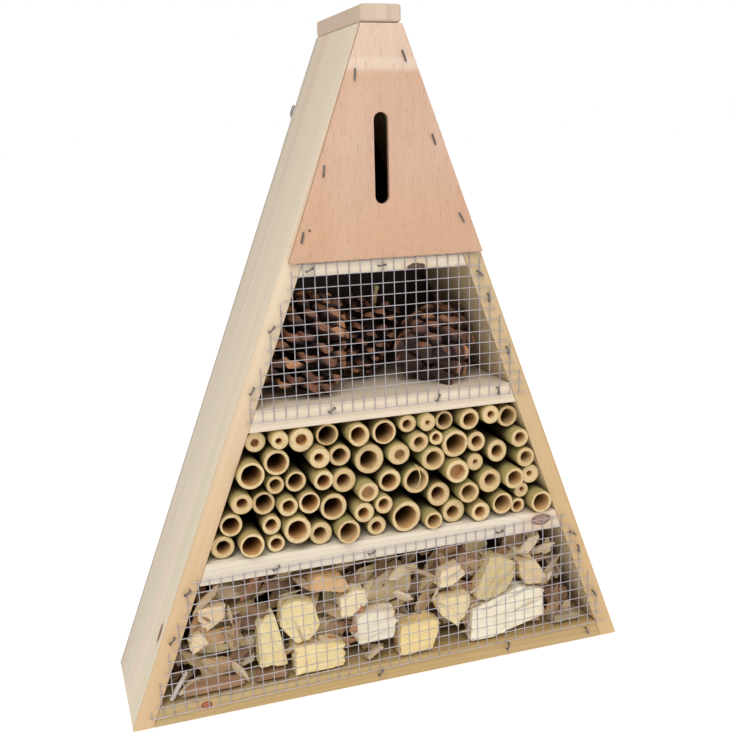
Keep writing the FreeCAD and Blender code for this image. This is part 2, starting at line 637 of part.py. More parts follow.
def kept_inside(across, height, radius):
    """The nearest place in the bay that is clear of its floor, its roof and the side boards."""
    reach = radius + size("cane_clearance")
    height = max(height, size("cane_floor") + reach)
    height = min(height, size("middle_shelf_foot") - reach)
    room = half_inner(height) - reach * math.sqrt(1 + size("lean_slope") ** 2)
    return max(-room, min(across, room)), height


def pressed_apart(canes, presses=400):
    """Shift canes that lie in each other until all lie side by side. Each is across, height, radius."""
    for press in range(presses):
        moved = False
        for first in range(len(canes)):
            for second in range(first):
                across, height, radius = canes[first]
                other_across, other_height, other_radius = canes[second]
                apart = math.hypot(across - other_across, height - other_height)
                short = radius + other_radius + size("cane_clearance") - apart
                if short > 0:
                    push_across = (across - other_across) / apart * short / 2
                    push_up = (height - other_height) / apart * short / 2
                    canes[first] = (across + push_across, height + push_up, radius)
                    canes[second] = (other_across - push_across, other_height - push_up, other_radius)
                    moved = True
        canes = [(*kept_inside(*cane), cane[2]) for cane in canes]
        if not moved:
            break
    return canes


def clear_of(place, others):
    """Whether a cane is clear of others, half the clearance being enough."""
    across, height, radius = place
    return all(math.hypot(across - other[0], height - other[1])
               > radius + other[2] + size("cane_clearance") / 2 for other in others)


def cane(diameter, bore, wall_depth, across, height, front):
    """A hollow cane along Y with its partition wall some way in."""
    length = size("cane_length")
    start = FreeCAD.Vector(across, front, height)
    solid = Part.makeCylinder(diameter / 2, length, start, Y_AXIS)
    mouth = Part.makeCylinder(bore / 2, wall_depth, start, Y_AXIS)
    behind = wall_depth + size("cane_wall_end")
    rear = Part.makeCylinder(bore / 2, length - behind, start + Y_AXIS * behind, Y_AXIS)
    return solid.cut([mouth, rear])


cane_places = []
for course in CANE_COURSES:
    for across_share, up_share, diameter, bore, wall_depth in course:
        height = size("cane_floor") + up_share / 100 * size("cane_bay_height")
        cane_places.append((across_share / 100 * half_inner(height), height, diameter / 2))
cane_places = pressed_apart(cane_places)
laid = []
for course_number, course in enumerate(CANE_COURSES, start=1):
    solids = []
    for number, (across_share, up_share, diameter, bore, wall_depth) in enumerate(course):
        place = cane_places.pop(0)
        if not clear_of(place, laid):
            continue
        laid.append(place)
        proud = 3 * math.sin(5 * course_number + 2.3 * number)
        front = FRONT + 0.8 - proud
        solids.append(cane(diameter, bore, wall_depth, place[0], place[1], front))
    print(f"course {course_number}: {len(solids)} of {len(course)} canes")
    add_group(f"bamboo_course_{course_number}", solids)


# ---- pine cones ----

def pine_cone(length, width, tiers=9):
    """A cone standing on its stalk end at the origin: tiers of scales inside an egg's outline."""
    def girth(share):
        return 0.5 * width * math.sin(math.pi * min(share, 1) ** 0.72) ** 0.6

    points = [FreeCAD.Vector(0, 0, 0)]
    for tier in range(tiers):
        inner = girth((tier + 0.12) / tiers) * 0.72
        outer = girth((tier + 0.5) / tiers)
        points.append(FreeCAD.Vector(inner, 0, tier * length / tiers + 0.5))
        points.append(FreeCAD.Vector(outer, 0, (tier + 0.75) * length / tiers))
    points.append(FreeCAD.Vector(0, 0, length))
    face = Part.Face(Part.makePolygon(points + [points[0]]))
    return face.revolve(FreeCAD.Vector(), Z_AXIS, 360)


def add_cone(name, length, width, rotation, across, depth):
    """Stand a turned cone on the middle shelf."""
    cone = pine_cone(length, width)
    cone.Placement = FreeCAD.Placement(FreeCAD.Vector(), rotation)
    low = cone.BoundBox.ZMin
    centre = cone.CenterOfMass
    lift = size("cone_floor") + size("cone_clearance") - low
    place = FreeCAD.Vector(across - centre.x, depth - centre.y, lift)
    shape = pine_cone(length, width)
    add_feature(name, shape, FreeCAD.Placement(place, rotation))


LEFT_CONE = (60, 50)
RIGHT_CONE = (50, 46)
MIDDLE_CONE = (48, 36)
MIDDLE_CONE_LEAN = 18


def beside_wall(width, height):
    """How far from the middle a cone's centre is when its scales just clear the side board."""
    reach = (width / 2 + size("cone_clearance")) * math.sqrt(1 + size("lean_slope") ** 2)
    return half_inner(size("cone_floor") + height) - reach


add_cone("left_pine_cone", *LEFT_CONE, FreeCAD.Rotation(Y_AXIS, LEAN),
         -beside_wall(LEFT_CONE[1], 29), -11)
add_cone("right_pine_cone", *RIGHT_CONE, FreeCAD.Rotation(X_AXIS, -104),
         beside_wall(RIGHT_CONE[1], 25), -11)
add_cone("middle_pine_cone", *MIDDLE_CONE,
         FreeCAD.Rotation(Y_AXIS, MIDDLE_CONE_LEAN) * FreeCAD.Rotation(X_AXIS, 172), 2, 7)


# ---- broken wood ----

def wood_piece(set_back, thick, slope_across, slope_up, corners):
    """A flat broken piece whose outline is given in hundredths of the bay."""
    clearance = size("chip_clearance")
    room = size("chip_bay_height") - 2 * clearance
    places = []
    for across_share, up_share in corners:
        height = size("base_thick") + clearance + up_share / 100 * room
        reach = half_inner(height) - clearance
        places.append((across_share / 100 * reach, height))
    middle_x = sum(place[0] for place in places) / len(places)
    middle_z = sum(place[1] for place in places) / len(places)
    points = [FreeCAD.Vector(x, FRONT + set_back + slope_across * (x - middle_x)
                             + slope_up * (z - middle_z), z) for x, z in places]
    return Part.Face(Part.makePolygon(points + [points[0]])).extrude(Y_AXIS * thick)


for number, piece in enumerate(WOOD_CHIPS, start=1):
    add_feature(f"wood_chip_{number:02d}", wood_piece(*piece))
add_group("bark_strips", [wood_piece(*piece) for piece in BARK_STRIPS])
add_group("wood_slivers", [wood_piece(*piece) for piece in WOOD_SLIVERS])


# ---- checks and files ----

doc.recompute()
for item in doc.Objects:
    assert not {"Invalid", "Error"} & set(item.State), f"{item.Name} didn't build"
for sub_part in sub_parts:
    shape = sub_part.Shape
    assert not shape.isNull() and shape.isValid() and shape.Solids, f"{sub_part.Label} isn't sound"

os.makedirs("parts", exist_ok=True)
for sub_part in sub_parts:
    sub_part.Shape.exportStep(f"parts/{sub_part.Label}.step")
print(len(sub_parts), "sub-parts written")
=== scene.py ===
import math
import random
from contextlib import contextmanager

import bmesh
import bpy
from bpy.props import FloatProperty, FloatVectorProperty, IntProperty, PointerProperty
from mathutils import Matrix, Vector, noise
from mathutils.geometry import intersect_line_line_2d


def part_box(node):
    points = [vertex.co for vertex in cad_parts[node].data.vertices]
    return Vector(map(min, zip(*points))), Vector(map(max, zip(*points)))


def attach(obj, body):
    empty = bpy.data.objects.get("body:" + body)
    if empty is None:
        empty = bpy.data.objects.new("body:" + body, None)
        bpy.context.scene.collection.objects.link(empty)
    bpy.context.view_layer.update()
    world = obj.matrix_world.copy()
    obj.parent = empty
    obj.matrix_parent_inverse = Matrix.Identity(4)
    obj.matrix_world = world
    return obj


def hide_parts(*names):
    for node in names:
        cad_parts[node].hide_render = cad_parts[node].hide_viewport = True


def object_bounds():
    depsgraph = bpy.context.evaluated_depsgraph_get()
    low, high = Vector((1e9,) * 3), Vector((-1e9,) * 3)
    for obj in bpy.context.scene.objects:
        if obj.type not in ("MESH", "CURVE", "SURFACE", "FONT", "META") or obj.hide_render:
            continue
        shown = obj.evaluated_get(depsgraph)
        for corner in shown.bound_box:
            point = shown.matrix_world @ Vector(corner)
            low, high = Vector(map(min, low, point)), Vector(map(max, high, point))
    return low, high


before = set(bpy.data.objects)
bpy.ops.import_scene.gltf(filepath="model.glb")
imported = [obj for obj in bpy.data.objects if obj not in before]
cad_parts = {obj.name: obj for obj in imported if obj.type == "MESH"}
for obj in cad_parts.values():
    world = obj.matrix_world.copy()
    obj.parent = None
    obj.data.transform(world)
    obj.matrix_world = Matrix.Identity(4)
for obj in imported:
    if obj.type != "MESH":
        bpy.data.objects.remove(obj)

bl_info = {
    "name": "Insect Hotel",
    "version": (1, 0, 0),
    "blender": (4, 5, 0),
    "location": "3D View > Sidebar > Insect Hotel",
    "description": "Finishes an insect hotel's boards, bamboo, cones, broken wood, wire and fittings",
    "category": "Add Mesh",
}

MM = 0.001
MERGE = 0.01 * MM
CAD_LOW, CAD_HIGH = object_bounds()
HALF_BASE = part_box("right_side_board")[1].x
HALF_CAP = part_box("top_cap")[1].x
SIDE_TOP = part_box("top_cap")[0].z
LEAN = math.atan2(HALF_BASE - HALF_CAP, SIDE_TOP)
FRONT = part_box("left_side_board")[0].y
FLOOR_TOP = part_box("base_board")[1].z
BAY_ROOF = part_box("lower_shelf")[0].z
INNER_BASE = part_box("base_board")[1].x


# ---- selecting, copying and turning ----

def only(*pieces):
    """Select these pieces alone, the last one active."""
    bpy.ops.object.select_all(action="DESELECT")
    for piece in pieces:
        piece.select_set(True)
    bpy.context.view_layer.objects.active = pieces[-1]


@contextmanager
def editing(piece):
    """Edit mode on one piece, with all of it selected, until the block ends."""
    only(piece)
    bpy.ops.object.mode_set(mode="EDIT")
    bpy.ops.mesh.select_all(action="SELECT")
    yield
    bpy.ops.object.mode_set(mode="OBJECT")


def copied(node, name):
    """A new piece in a CAD node's shape, its loose triangles merged into whole faces."""
    piece = bpy.data.objects.new(name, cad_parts[node].data.copy())
    bpy.context.scene.collection.objects.link(piece)
    only(piece)
    bpy.ops.mesh.customdata_custom_splitnormals_clear()
    with editing(piece):
        bpy.ops.mesh.remove_doubles(threshold=MERGE)
        bpy.ops.mesh.dissolve_limited(angle_limit=math.radians(1))
    return piece


def twin(piece, name):
    """A copy of a piece with a mesh of its own."""
    made = bpy.data.objects.new(name, piece.data.copy())
    bpy.context.scene.collection.objects.link(made)
    return made


def joined(pieces, name):
    """Several pieces made one."""
    only(*pieces)
    bpy.ops.object.join()
    piece = bpy.context.object
    piece.name = name
    piece.data.name = name
    return piece


def finish_piece(piece, node, look, smooth, body="root"):
    """Give a piece its material and shading and its body, and hide the CAD node that it stands for.

    smooth is the angle, in degrees, over which an edge stays sharp.
    """
    if look:
        piece.data.materials.clear()
        piece.data.materials.append(look)
    only(piece)
    bpy.ops.object.shade_smooth_by_angle(angle=math.radians(smooth))
    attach(piece, body)
    if node:
        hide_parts(node)


def lathe(name, sides, profile):
    """A closed round piece about the Y axis, from stations of (radius, place along)."""
    radius, along = profile[0]
    bpy.ops.mesh.primitive_circle_add(vertices=sides, radius=radius, fill_type="NGON",
                                      location=(0, along, 0), rotation=(math.pi / 2, 0, 0))
    piece = bpy.context.object
    piece.name = name
    bpy.ops.object.transform_apply(location=True, rotation=True, scale=True)
    with editing(piece):
        for wider, further in profile[1:]:
            bpy.ops.mesh.extrude_region_move(TRANSFORM_OT_translate={"value": (0, further - along, 0)})
            bpy.ops.transform.resize(value=(wider / radius, 1, wider / radius),
                                     center_override=(0, further, 0))
            radius, along = wider, further
        bpy.ops.mesh.select_all(action="SELECT")
        bpy.ops.mesh.normals_make_consistent(inside=False)
    return piece


def islands(node):
    """The separate solids of a CAD node, each a list of its corner points."""
    mesh = bmesh.new()
    mesh.from_mesh(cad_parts[node].data)
    bmesh.ops.remove_doubles(mesh, verts=mesh.verts, dist=MERGE)
    left = set(mesh.verts)
    found = []
    while left:
        waiting = [left.pop()]
        island = []
        while waiting:
            vertex = waiting.pop()
            island.append(vertex.co.copy())
            for edge in vertex.link_edges:
                other = edge.other_vert(vertex)
                if other in left:
                    left.remove(other)
                    waiting.append(other)
        found.append(island)
    mesh.free()
    found.sort(key=lambda points: (round(min(p.x for p in points), 6), round(min(p.z for p in points), 6)))
    return found


def corners(points):
    """Lowest and highest corner of some points."""
    low = Vector([min(point[axis] for point in points) for axis in range(3)])
    high = Vector([max(point[axis] for point in points) for axis in range(3)])
    return low, high


def write_numbers(piece, **layers):
    """Store a number on each point of a mesh, for its material to read, or the same one on all."""
    for name, values in layers.items():
        if not isinstance(values, list):
            values = [values] * len(piece.data.vertices)
        piece.data.attributes.new(name, "FLOAT", "POINT").data.foreach_set("value", values)


def write_wood(piece, grain, tint):
    """Store where each point of a broken piece lay in its wood, and the wood's colour."""
    places = piece.data.attributes.new("grain", "FLOAT_VECTOR", "POINT")
    places.data.foreach_set("vector", [part for spot in grain for part in spot])
    colours = piece.data.attributes.new("tint", "FLOAT_COLOR", "POINT")
    colours.data.foreach_set("color", (*tint, 1) * len(grain))


# ---- shader maths ----

def times(colour, *shares):
    """A colour with its three parts scaled by one share, or by a share each."""
    return tuple(part * share for part, share in zip(colour, shares * (3 // len(shares))))


def operator(operation, swapped=False):
    """A Python operator between signals, as a math node."""
    def apply(first, second):
        inputs = (second, first) if swapped else (first, second)
        return first.look.node("Math", enumerate(inputs), operation=operation)
    return apply


class Signal:
    """A socket in a material's node tree, which Python's operators work on."""

    __add__ = __radd__ = operator("ADD")
    __sub__ = operator("SUBTRACT")
    __rsub__ = operator("SUBTRACT", swapped=True)
    __mul__ = operator("MULTIPLY")
    __truediv__ = operator("DIVIDE")
    __pow__ = operator("POWER")

    def __init__(self, look, socket):
        self.look = look
        self.socket = socket

    def math(self, operation):
        return self.look.node("Math", {0: self}, operation=operation)

    def step(self, low, high):
        """0 below low and 1 above high, smooth between. low may be the larger."""
        if low > high:
            return 1 - self.step(high, low)
        return self.look.node("MapRange", {0: self, 1: low, 2: high}, interpolation_type="SMOOTHSTEP")


class Look:
    """One material and the ways to add to its node tree."""

    def __init__(self, name):
        self.material = bpy.data.materials.new(name)
        self.material.use_nodes = True
        self.tree = self.material.node_tree
        self.tree.nodes.clear()
        self.place = self.node("TexCoord", output="Object")

    def node(self, kind, inputs=(), output=0, stops=(), **settings):
        """A new node: its settings first, then the values or links of its sockets."""
        made = self.tree.nodes.new("ShaderNode" + kind)
        for name, value in settings.items():
            setattr(made, name, value)
        if stops:
            ramp = made.color_ramp.elements
            while len(ramp) < len(stops):
                ramp.new(0.5)
            for element, (position, grey) in zip(ramp, stops):
                element.position = position
                element.color = (grey, grey, grey, 1)
        for name, value in dict(inputs).items():
            if isinstance(value, Signal):
                self.tree.links.new(value.socket, made.inputs[name])
            else:
                made.inputs[name].default_value = value
        return Signal(self, made.outputs[output])

    def seen_from(self, centre, turn, scale=(1, 1, 1)):
        """Places as measured from a centre, along turned axes."""
        return self.node("Mapping", {"Vector": self.place, "Location": centre, "Rotation": turn,
                                     "Scale": scale}, vector_type="TEXTURE")

    def noise(self, vector, scale, detail=2, rough=0.5):
        """Noise with one scale, or with a scale for each axis, which draws it out along the least."""
        if isinstance(scale, tuple):
            vector = self.node("Mapping", {"Vector": vector, "Scale": scale})
            scale = 1
        return self.node("TexNoise", {"Vector": vector, "Scale": scale, "Detail": detail,
                                      "Roughness": rough})

    def length(self, vector):
        return self.node("VectorMath", {0: vector}, output="Value", operation="LENGTH")

    def cells(self, vector, scale=1):
        return self.node("TexVoronoi", {"Vector": vector, "Scale": scale})

    def parts(self, vector):
        return [self.node("SeparateXYZ", {0: vector}, output=axis) for axis in range(3)]

    def attribute(self, name, output="Fac"):
        return self.node("Attribute", output=output, attribute_name=name)

    def mix(self, mask, first, second, blend="MIX"):
        first, second = [colour if isinstance(colour, Signal) else (*colour, 1) for colour in (first, second)]
        return self.node("Mix", {0: mask, 6: first, 7: second}, output=2, data_type="RGBA",
                         blend_type=blend)

    def shade(self, colour, amount):
        """A colour made lighter or darker by a value."""
        return self.node("VectorMath", {0: colour, "Scale": amount}, operation="SCALE")

    def done(self, colour, roughness, height=None, relief=0.2, **constants):
        """Close the material. relief is how deep the bumps are, in millimetres."""
        sockets = {"Base Color": colour, "Roughness": roughness}
        sockets.update({name.replace("_", " "): value for name, value in constants.items()})
        if height is not None:
            sockets["Normal"] = self.node("Bump", {"Height": height, "Strength": 1.0,
                                                   "Distance": relief * MM})
        shader = self.node("BsdfPrincipled", sockets)
        output = self.tree.nodes.new("ShaderNodeOutputMaterial")
        self.tree.links.new(shader.socket, output.inputs["Surface"])
        return self.material


# ---- wood ----

def pine(name, pale, dark, centre, turn, heart, ring, knot=None, green=0.3, pink=0.3, edge=0.0):
    """Sawn softwood. Its rings are cut from a log whose heart runs beside the board.

    centre and turn are the board's middle and its lean, heart is how far the heart lies from the
    middle through and across the board, and ring is one year's growth. knot is a knot's place, its
    turn, its two half widths and its colour. green and pink are how strong the blotches are, and
    edge is how far the front edge has turned orange near the foot.
    """
    look = Look(name)
    board = look.seen_from(centre, (0, turn, 0))
    drift = look.noise(board, (9, 9, 3.2), 2) - 0.5
    weave = look.noise(board, (60, 60, 9), 1) - 0.5
    through, across = look.parts(board)[:2]
    sag = drift * 0.012 + weave * 0.0012
    reach_x = through - heart[0] + sag
    reach_y = across - heart[1] + sag
    radius = (reach_x * reach_x + reach_y * reach_y) ** 0.5
    if knot:
        spot, spin, half_wide, half_tall, wood = knot
        reach = look.length(look.seen_from(spot, (0, 0, spin), (half_wide, 10, half_tall)))
        ragged = reach + (look.noise(look.place, 420) - 0.5) * 0.5
        radius = radius + ((reach * reach) * -0.16).math("EXPONENT") * ring * 2.2
        rings = (ragged * 9).math("SINE") * 0.5 + 0.5
        knot_colour = look.mix(ragged.step(0.5, 1.0), look.mix(rings * 0.5, wood, times(wood, 0.55)),
                               times(wood, 0.4))
    spread = look.noise(look.node("CombineXYZ", {0: radius * 170}), 1, 1) - 0.5
    count = (radius + spread * ring * 0.9) / ring
    late = look.node("ValToRGB", {0: count.math("FRACT")},
                     stops=((0, 0.05), (0.4, 0.12), (0.78, 0.62), (0.93, 1), (1, 0.05)))
    year = look.node("TexWhiteNoise", {"W": count.math("FLOOR")}, noise_dimensions="1D")
    fibre = look.noise(board, (1100, 1100, 16), 3, 0.65)
    streak = look.noise(board, (260, 260, 5), 2)
    blotch = look.noise(board, (26, 60, 3), 2)
    fleck = look.noise(board, (1500, 1500, 90), 1)
    colour = look.mix(late * 0.5 + (year - 0.5) * 0.25, pale, dark)
    colour = look.mix(blotch.step(0.5, 0.75) * pink, colour, (0.72, 0.50, 0.38))
    colour = look.mix(blotch.step(0.5, 0.28) * green, colour, (0.56, 0.53, 0.36))
    if edge:
        place = look.parts(look.place)
        faced = place[1].step(FRONT + 3 * MM, FRONT + 0.8 * MM) * place[2].step(0.34, 0.02)
        colour = look.mix(faced * (0.45 + blotch * edge), colour, (0.58, 0.34, 0.13))
    colour = look.shade(colour, 0.9 + fibre * 0.12 + streak * 0.1)
    colour = look.mix(fleck.step(0.66, 0.8) * 0.25, colour, (0.36, 0.24, 0.13))
    if knot:
        colour = look.mix(ragged.step(2.6, 1.0) * 0.35, colour, (0.62, 0.33, 0.14))
        colour = look.mix(ragged.step(1.12, 0.9), colour, knot_colour)
    height = fibre * 0.8 + fleck * 0.3 - late * 0.25
    return look.done(colour, 0.66 - late * 0.08, height, 0.12)


PANEL_PALE = (0.74, 0.58, 0.46)
NAIL_X = -42 * MM
NAIL_Z = 268 * MM


def hardboard(name, pale, dark, inner):
    """Pressed board: pale outside and at its edges, with painted shade, nearly black, on its inner side, past
    inner.
    """
    look = Look(name)
    hair = look.noise(look.place, (900, 900, 260), 3, 0.7)
    cloud = look.noise(look.place, 35, 3)
    # painted shade: the inner face is made nearly black
    side = look.parts(look.place)[1].step(inner + 0.3 * MM, inner + 0.1 * MM)
    colour = look.mix(hair.step(0.5, 0.75) * 0.5, pale, times(pale, 0.55))
    colour = look.shade(look.mix(side, colour, dark), 0.85 + cloud * 0.3)
    return look.done(colour, 0.7, hair, 0.05)


def plywood(name, face, core, middle):
    """Thin reddish plywood with fine upright grain. middle is the place of its core along Y."""
    look = Look(name)
    fleck = look.noise(look.place, (1300, 1300, 75), 2, 0.7)
    grain = look.noise(look.place, (190, 190, 6), 3, 0.6)
    broad = look.noise(look.place, (30, 10, 7), 2)
    height = look.parts(look.place)[2] + (broad - 0.5) * 0.004
    bands = look.noise(look.place, (4, 4, 60), 1)
    pores = look.noise(look.place, (2300, 800, 170), 1)
    colour = look.mix(grain * 0.75, face, times(face, 0.84, 0.74, 0.66))
    colour = look.mix(broad.step(0.42, 0.7) * 0.5, colour, times(face, 1.08, 1.16, 1.22))
    colour = look.mix(bands.step(0.5, 0.72) * 0.22, colour, (0.62, 0.34, 0.20))
    colour = look.mix(height.step(0.345, 0.352) * 0.5, colour, PANEL_PALE)
    colour = look.mix(height.step(0.347, 0.349) * height.step(0.355, 0.353) * 0.5, colour, PANEL_PALE)
    below = height.step(0.338, 0.343) * height.step(0.347, 0.345)
    colour = look.mix(below * 0.4, colour, (0.62, 0.36, 0.22))
    colour = look.mix(height.step(0.315, 0.262) * 0.5, colour, (0.58, 0.33, 0.19))
    colour = look.shade(colour, 0.92 + fleck * 0.14)
    colour = look.mix(pores.step(0.62, 0.74) * 0.4, colour, (0.40, 0.19, 0.10))
    depth = (look.parts(look.place)[1] - middle).math("ABSOLUTE")
    colour = look.mix(depth.step(0.8 * MM, 0.6 * MM), colour, core)
    glue = depth.step(0.5 * MM, 0.68 * MM) * depth.step(0.86 * MM, 0.7 * MM)
    colour = look.mix(glue * 0.7, colour, (0.24, 0.12, 0.07))
    nail = look.length(look.seen_from((NAIL_X, middle, NAIL_Z), (0, 0, 0), (1, 9, 1)))
    colour = look.mix(nail.step(0.95 * MM, 0.6 * MM), colour, (0.13, 0.08, 0.05))
    return look.done(colour, 0.6 + fleck * 0.1, fleck * 0.5 - pores.step(0.6, 0.74), 0.08)


# ---- metals ----

def metal(name, tint, dull, roughness, worn, metallic=1.0):
    """Plain wire or sheet metal, mottled, with a duller tint in patches."""
    look = Look(name)
    spots = look.noise(look.place, 900, 3, 0.6)
    clouds = look.noise(look.place, 160, 2)
    mask = (spots * 0.6 + clouds * 0.4).step(0.42, 0.62) * worn
    colour = look.mix(mask, tint, dull)
    return look.done(colour, roughness + mask * 0.25, spots, 0.02, Metallic=metallic)


# ---- bamboo ----

def bamboo_skin_with_painted_shade(pale, green):
    look = Look("bamboo_skin_with_painted_shade")
    tone = look.attribute("tone")
    streak = look.noise(look.place, (700, 16, 700), 2)
    spots = look.noise(look.place, 260, 3)
    colour = look.mix(tone, pale, green)
    colour = look.mix(spots.step(0.56, 0.72) * 0.5, colour, (0.33, 0.20, 0.09))
    colour = look.shade(colour, 0.86 + streak * 0.24)
    # painted shade: the skin darkens to nearly black over the first 14 mm behind the mouth, for the shade in
    # the gaps between the canes
    inward = (look.parts(look.place)[1] - FRONT) / (30 * MM)
    colour = look.mix(inward.step(0.0, 0.45) * 0.9, colour, (0.05, 0.035, 0.016))
    return look.done(colour, 0.42 + spots * 0.2, streak, 0.05)


def bamboo_cut(pale, rind):
    """The sawn end: a pale wall with dark vessels, closer together towards the skin."""
    look = Look("bamboo_cut")
    tone = look.attribute("tone")
    reach = look.attribute("reach")
    vessel = look.cells(look.place, 1500)
    crowd = reach * 0.17 + 0.2
    dots = (vessel - crowd).step(0.06, -0.04)
    stain = look.noise(look.place, 170, 3, 0.6)
    saw = look.noise(look.place, (300, 300, 2600), 1)
    colour = look.mix(tone * 0.7, pale, (0.56, 0.37, 0.17))
    colour = look.mix(reach.step(0.3, 0.0) * 0.6, colour, (0.44, 0.24, 0.09))
    colour = look.mix(reach.step(0.78, 0.97) * 0.85, colour, rind)
    colour = look.mix(dots * 0.5, colour, (0.34, 0.20, 0.09))
    colour = look.mix(stain.step(0.52, 0.74) * 0.4, colour, (0.42, 0.27, 0.13))
    colour = look.shade(colour, 0.93 + saw * 0.12)
    return look.done(colour, 0.72, saw * 0.5 - dots * 0.6, 0.08)


def bamboo_bore_with_painted_shade(mouth, deep):
    """The inside of a cane: an orange brown, with painted shade that darkens it away from the mouth."""
    look = Look("bamboo_bore_with_painted_shade")
    tone = look.attribute("tone")
    inward = (look.parts(look.place)[1] - FRONT) / (40 * MM)
    streak = look.noise(look.place, (900, 20, 900), 3)
    film = look.noise(look.place, (130, 60, 130), 3)
    stain = look.mix(tone, mouth, (0.60, 0.42, 0.20))
    # painted shade: from about 1 mm to 24 mm behind the mouth the bore goes over to deep, which is nearly
    # black
    colour = look.mix(inward.step(0.02, 0.6), stain, deep)
    colour = look.mix(film.step(0.55, 0.7) * inward.step(0.3, 0.1) * 0.5, colour, (0.70, 0.56, 0.34))
    colour = look.shade(colour, 0.8 + streak * 0.35)
    return look.done(colour, 0.55, streak, 0.06)


# ---- pine cones and broken wood ----

STEM_TIP = 2


def cone_scale_with_painted_light():
    """A scale's brown, paler at its rim, with painted light: the brown is darkened to nearly black as painted
    shade between the scales, and the pale rim is partly its own colour and partly a painted highlight. Where
    tip is STEM_TIP, it is the pale stem.
    """
    look = Look("cone_scale_with_painted_light")
    tip = look.attribute("tip")
    tone = look.attribute("tone")
    speck = look.noise(look.place, 700, 3, 0.6)
    # painted shade and highlight: a nearly black body for the gaps between scales, and a pale rim, partly the
    # scale's own paler tip
    brown = look.mix(tone, (0.018, 0.006, 0.004), (0.048, 0.016, 0.008))
    rim = look.mix(tone ** 2.0, (0.12, 0.042, 0.02), (0.52, 0.235, 0.11))
    colour = look.mix((tip + (speck - 0.5) * 0.1).step(0.79, 0.92), brown, rim)
    colour = look.mix(speck.step(0.55, 0.75) * 0.4, colour, (0.04, 0.016, 0.01))
    colour = look.mix(tip.step(1.4, 1.6), colour, (0.76, 0.62, 0.32))
    return look.done(colour, 0.5 + speck * 0.25, speck, 0.12)


def torn_wood(name, relief, furrow_shade):
    """Split wood or bark, in the colour that each piece carries, its fibres along its own grain, with painted
    shade in its low furrows.
    """
    look = Look(name)
    grain = look.attribute("grain", "Vector")
    tint = look.attribute("tint", "Color")
    fibre = look.noise(grain, (80, 1100, 1100), 3, 0.65)
    coarse = look.noise(grain, (22, 240, 240), 3, 0.6)
    patch = look.noise(grain, (60, 60, 60), 2)
    colour = look.shade(tint, 0.72 + fibre * 0.3 + coarse * 0.28)
    ruddy = look.mix(1.0, tint, (0.93, 0.72, 0.55), "MULTIPLY")
    colour = look.mix(patch.step(0.5, 0.7) * 0.35, colour, ruddy)
    # painted shade: the low furrows of the bump are darkened
    colour = look.mix(coarse.step(0.40, 0.27) * furrow_shade, colour, (0.16, 0.085, 0.04))
    return look.done(colour, 0.8, fibre * 0.5 + coarse, relief)


# ---- boards ----

KNOT_BROWN = (0.20, 0.09, 0.045)


def middle_of(node):
    low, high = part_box(node)
    return (low + high) / 2


def board_looks():
    """Each board's wood: its colours, where its log's heart lay, and its knots."""
    quarter = math.pi / 2
    side_knot = ((-132.8 * MM, -29 * MM, 51.6 * MM), quarter, 2.2 * MM, 5 * MM, KNOT_BROWN)
    upper_knot = ((17.9 * MM, FRONT, 244.6 * MM), 0, 5.5 * MM, 2.6 * MM, (0.13, 0.07, 0.04))
    lower_knot = ((97 * MM, FRONT, 86 * MM), 0, 6.5 * MM, 3.4 * MM, (0.40, 0.24, 0.19))
    base_knot = ((-111.3 * MM, FRONT, 7.4 * MM), 0, 3.2 * MM, 2.4 * MM, (0.42, 0.13, 0.06))
    return {
        "left_side_board": pine("side_pine_left", (0.71, 0.60, 0.46), (0.60, 0.49, 0.34),
                                middle_of("left_side_board"), LEAN, (-0.07, 0.035), 3.4 * MM,
                                side_knot, 0.35, 0.5, 0.6),
        "right_side_board": pine("side_pine_right", (0.55, 0.42, 0.25), (0.44, 0.31, 0.16),
                                 middle_of("right_side_board"), -LEAN, (0.05, -0.07), 2.8 * MM,
                                 edge=0.3),
        "base_board": pine("shelf_pine_base", (0.44, 0.30, 0.122), (0.33, 0.185, 0.067),
                           middle_of("base_board"), quarter, (0.05, 0.01), 3.0 * MM, base_knot),
        "lower_shelf": pine("shelf_pine_lower", (0.68, 0.60, 0.485), (0.57, 0.45, 0.34),
                            middle_of("lower_shelf"), quarter, (0.08, 0.03), 2.4 * MM, lower_knot),
        "middle_shelf": pine("shelf_pine_middle", (0.72, 0.60, 0.46), (0.60, 0.47, 0.32),
                             middle_of("middle_shelf"), quarter, (-0.06, 0.02), 2.6 * MM),
        "upper_shelf": pine("shelf_pine_upper", (0.77, 0.67, 0.52), (0.66, 0.53, 0.37),
                            middle_of("upper_shelf"), quarter, (0.07, 0.04), 2.2 * MM, upper_knot),
    }


def eased(node, name, radius):
    """A CAD node's shape with its edges eased, as by a light sanding."""
    piece = copied(node, name)
    with editing(piece):
        bpy.ops.mesh.bevel(offset=radius, segments=2, affect="EDGES", clamp_overlap=True)
    return piece


# ---- settings ----

def size_setting(name, description, default):
    return FloatProperty(name=name, description=description, default=default, subtype="DISTANCE",
                         unit="LENGTH")


def number_setting(name, description, default):
    return FloatProperty(name=name, description=description, default=default)


def colour_setting(name, description, *default):
    return FloatVectorProperty(name=name, description=description, default=default, subtype="COLOR")


def count_setting(name, description, default):
    return IntProperty(name=name, description=description, default=default)


class HotelWood(bpy.types.PropertyGroup):
    board_edge: size_setting("Board edge", "Radius that eases a board's edges", 0.55 * MM)
    panel_edge: size_setting("Panel edge", "Radius that eases the plywood's edges", 0.25 * MM)
    panel_colour: colour_setting("Plywood", "Colour of the plywood's face", 0.62, 0.405, 0.29)
    core_colour: colour_setting("Core", "Colour of the plywood's core", 0.48, 0.30, 0.18)


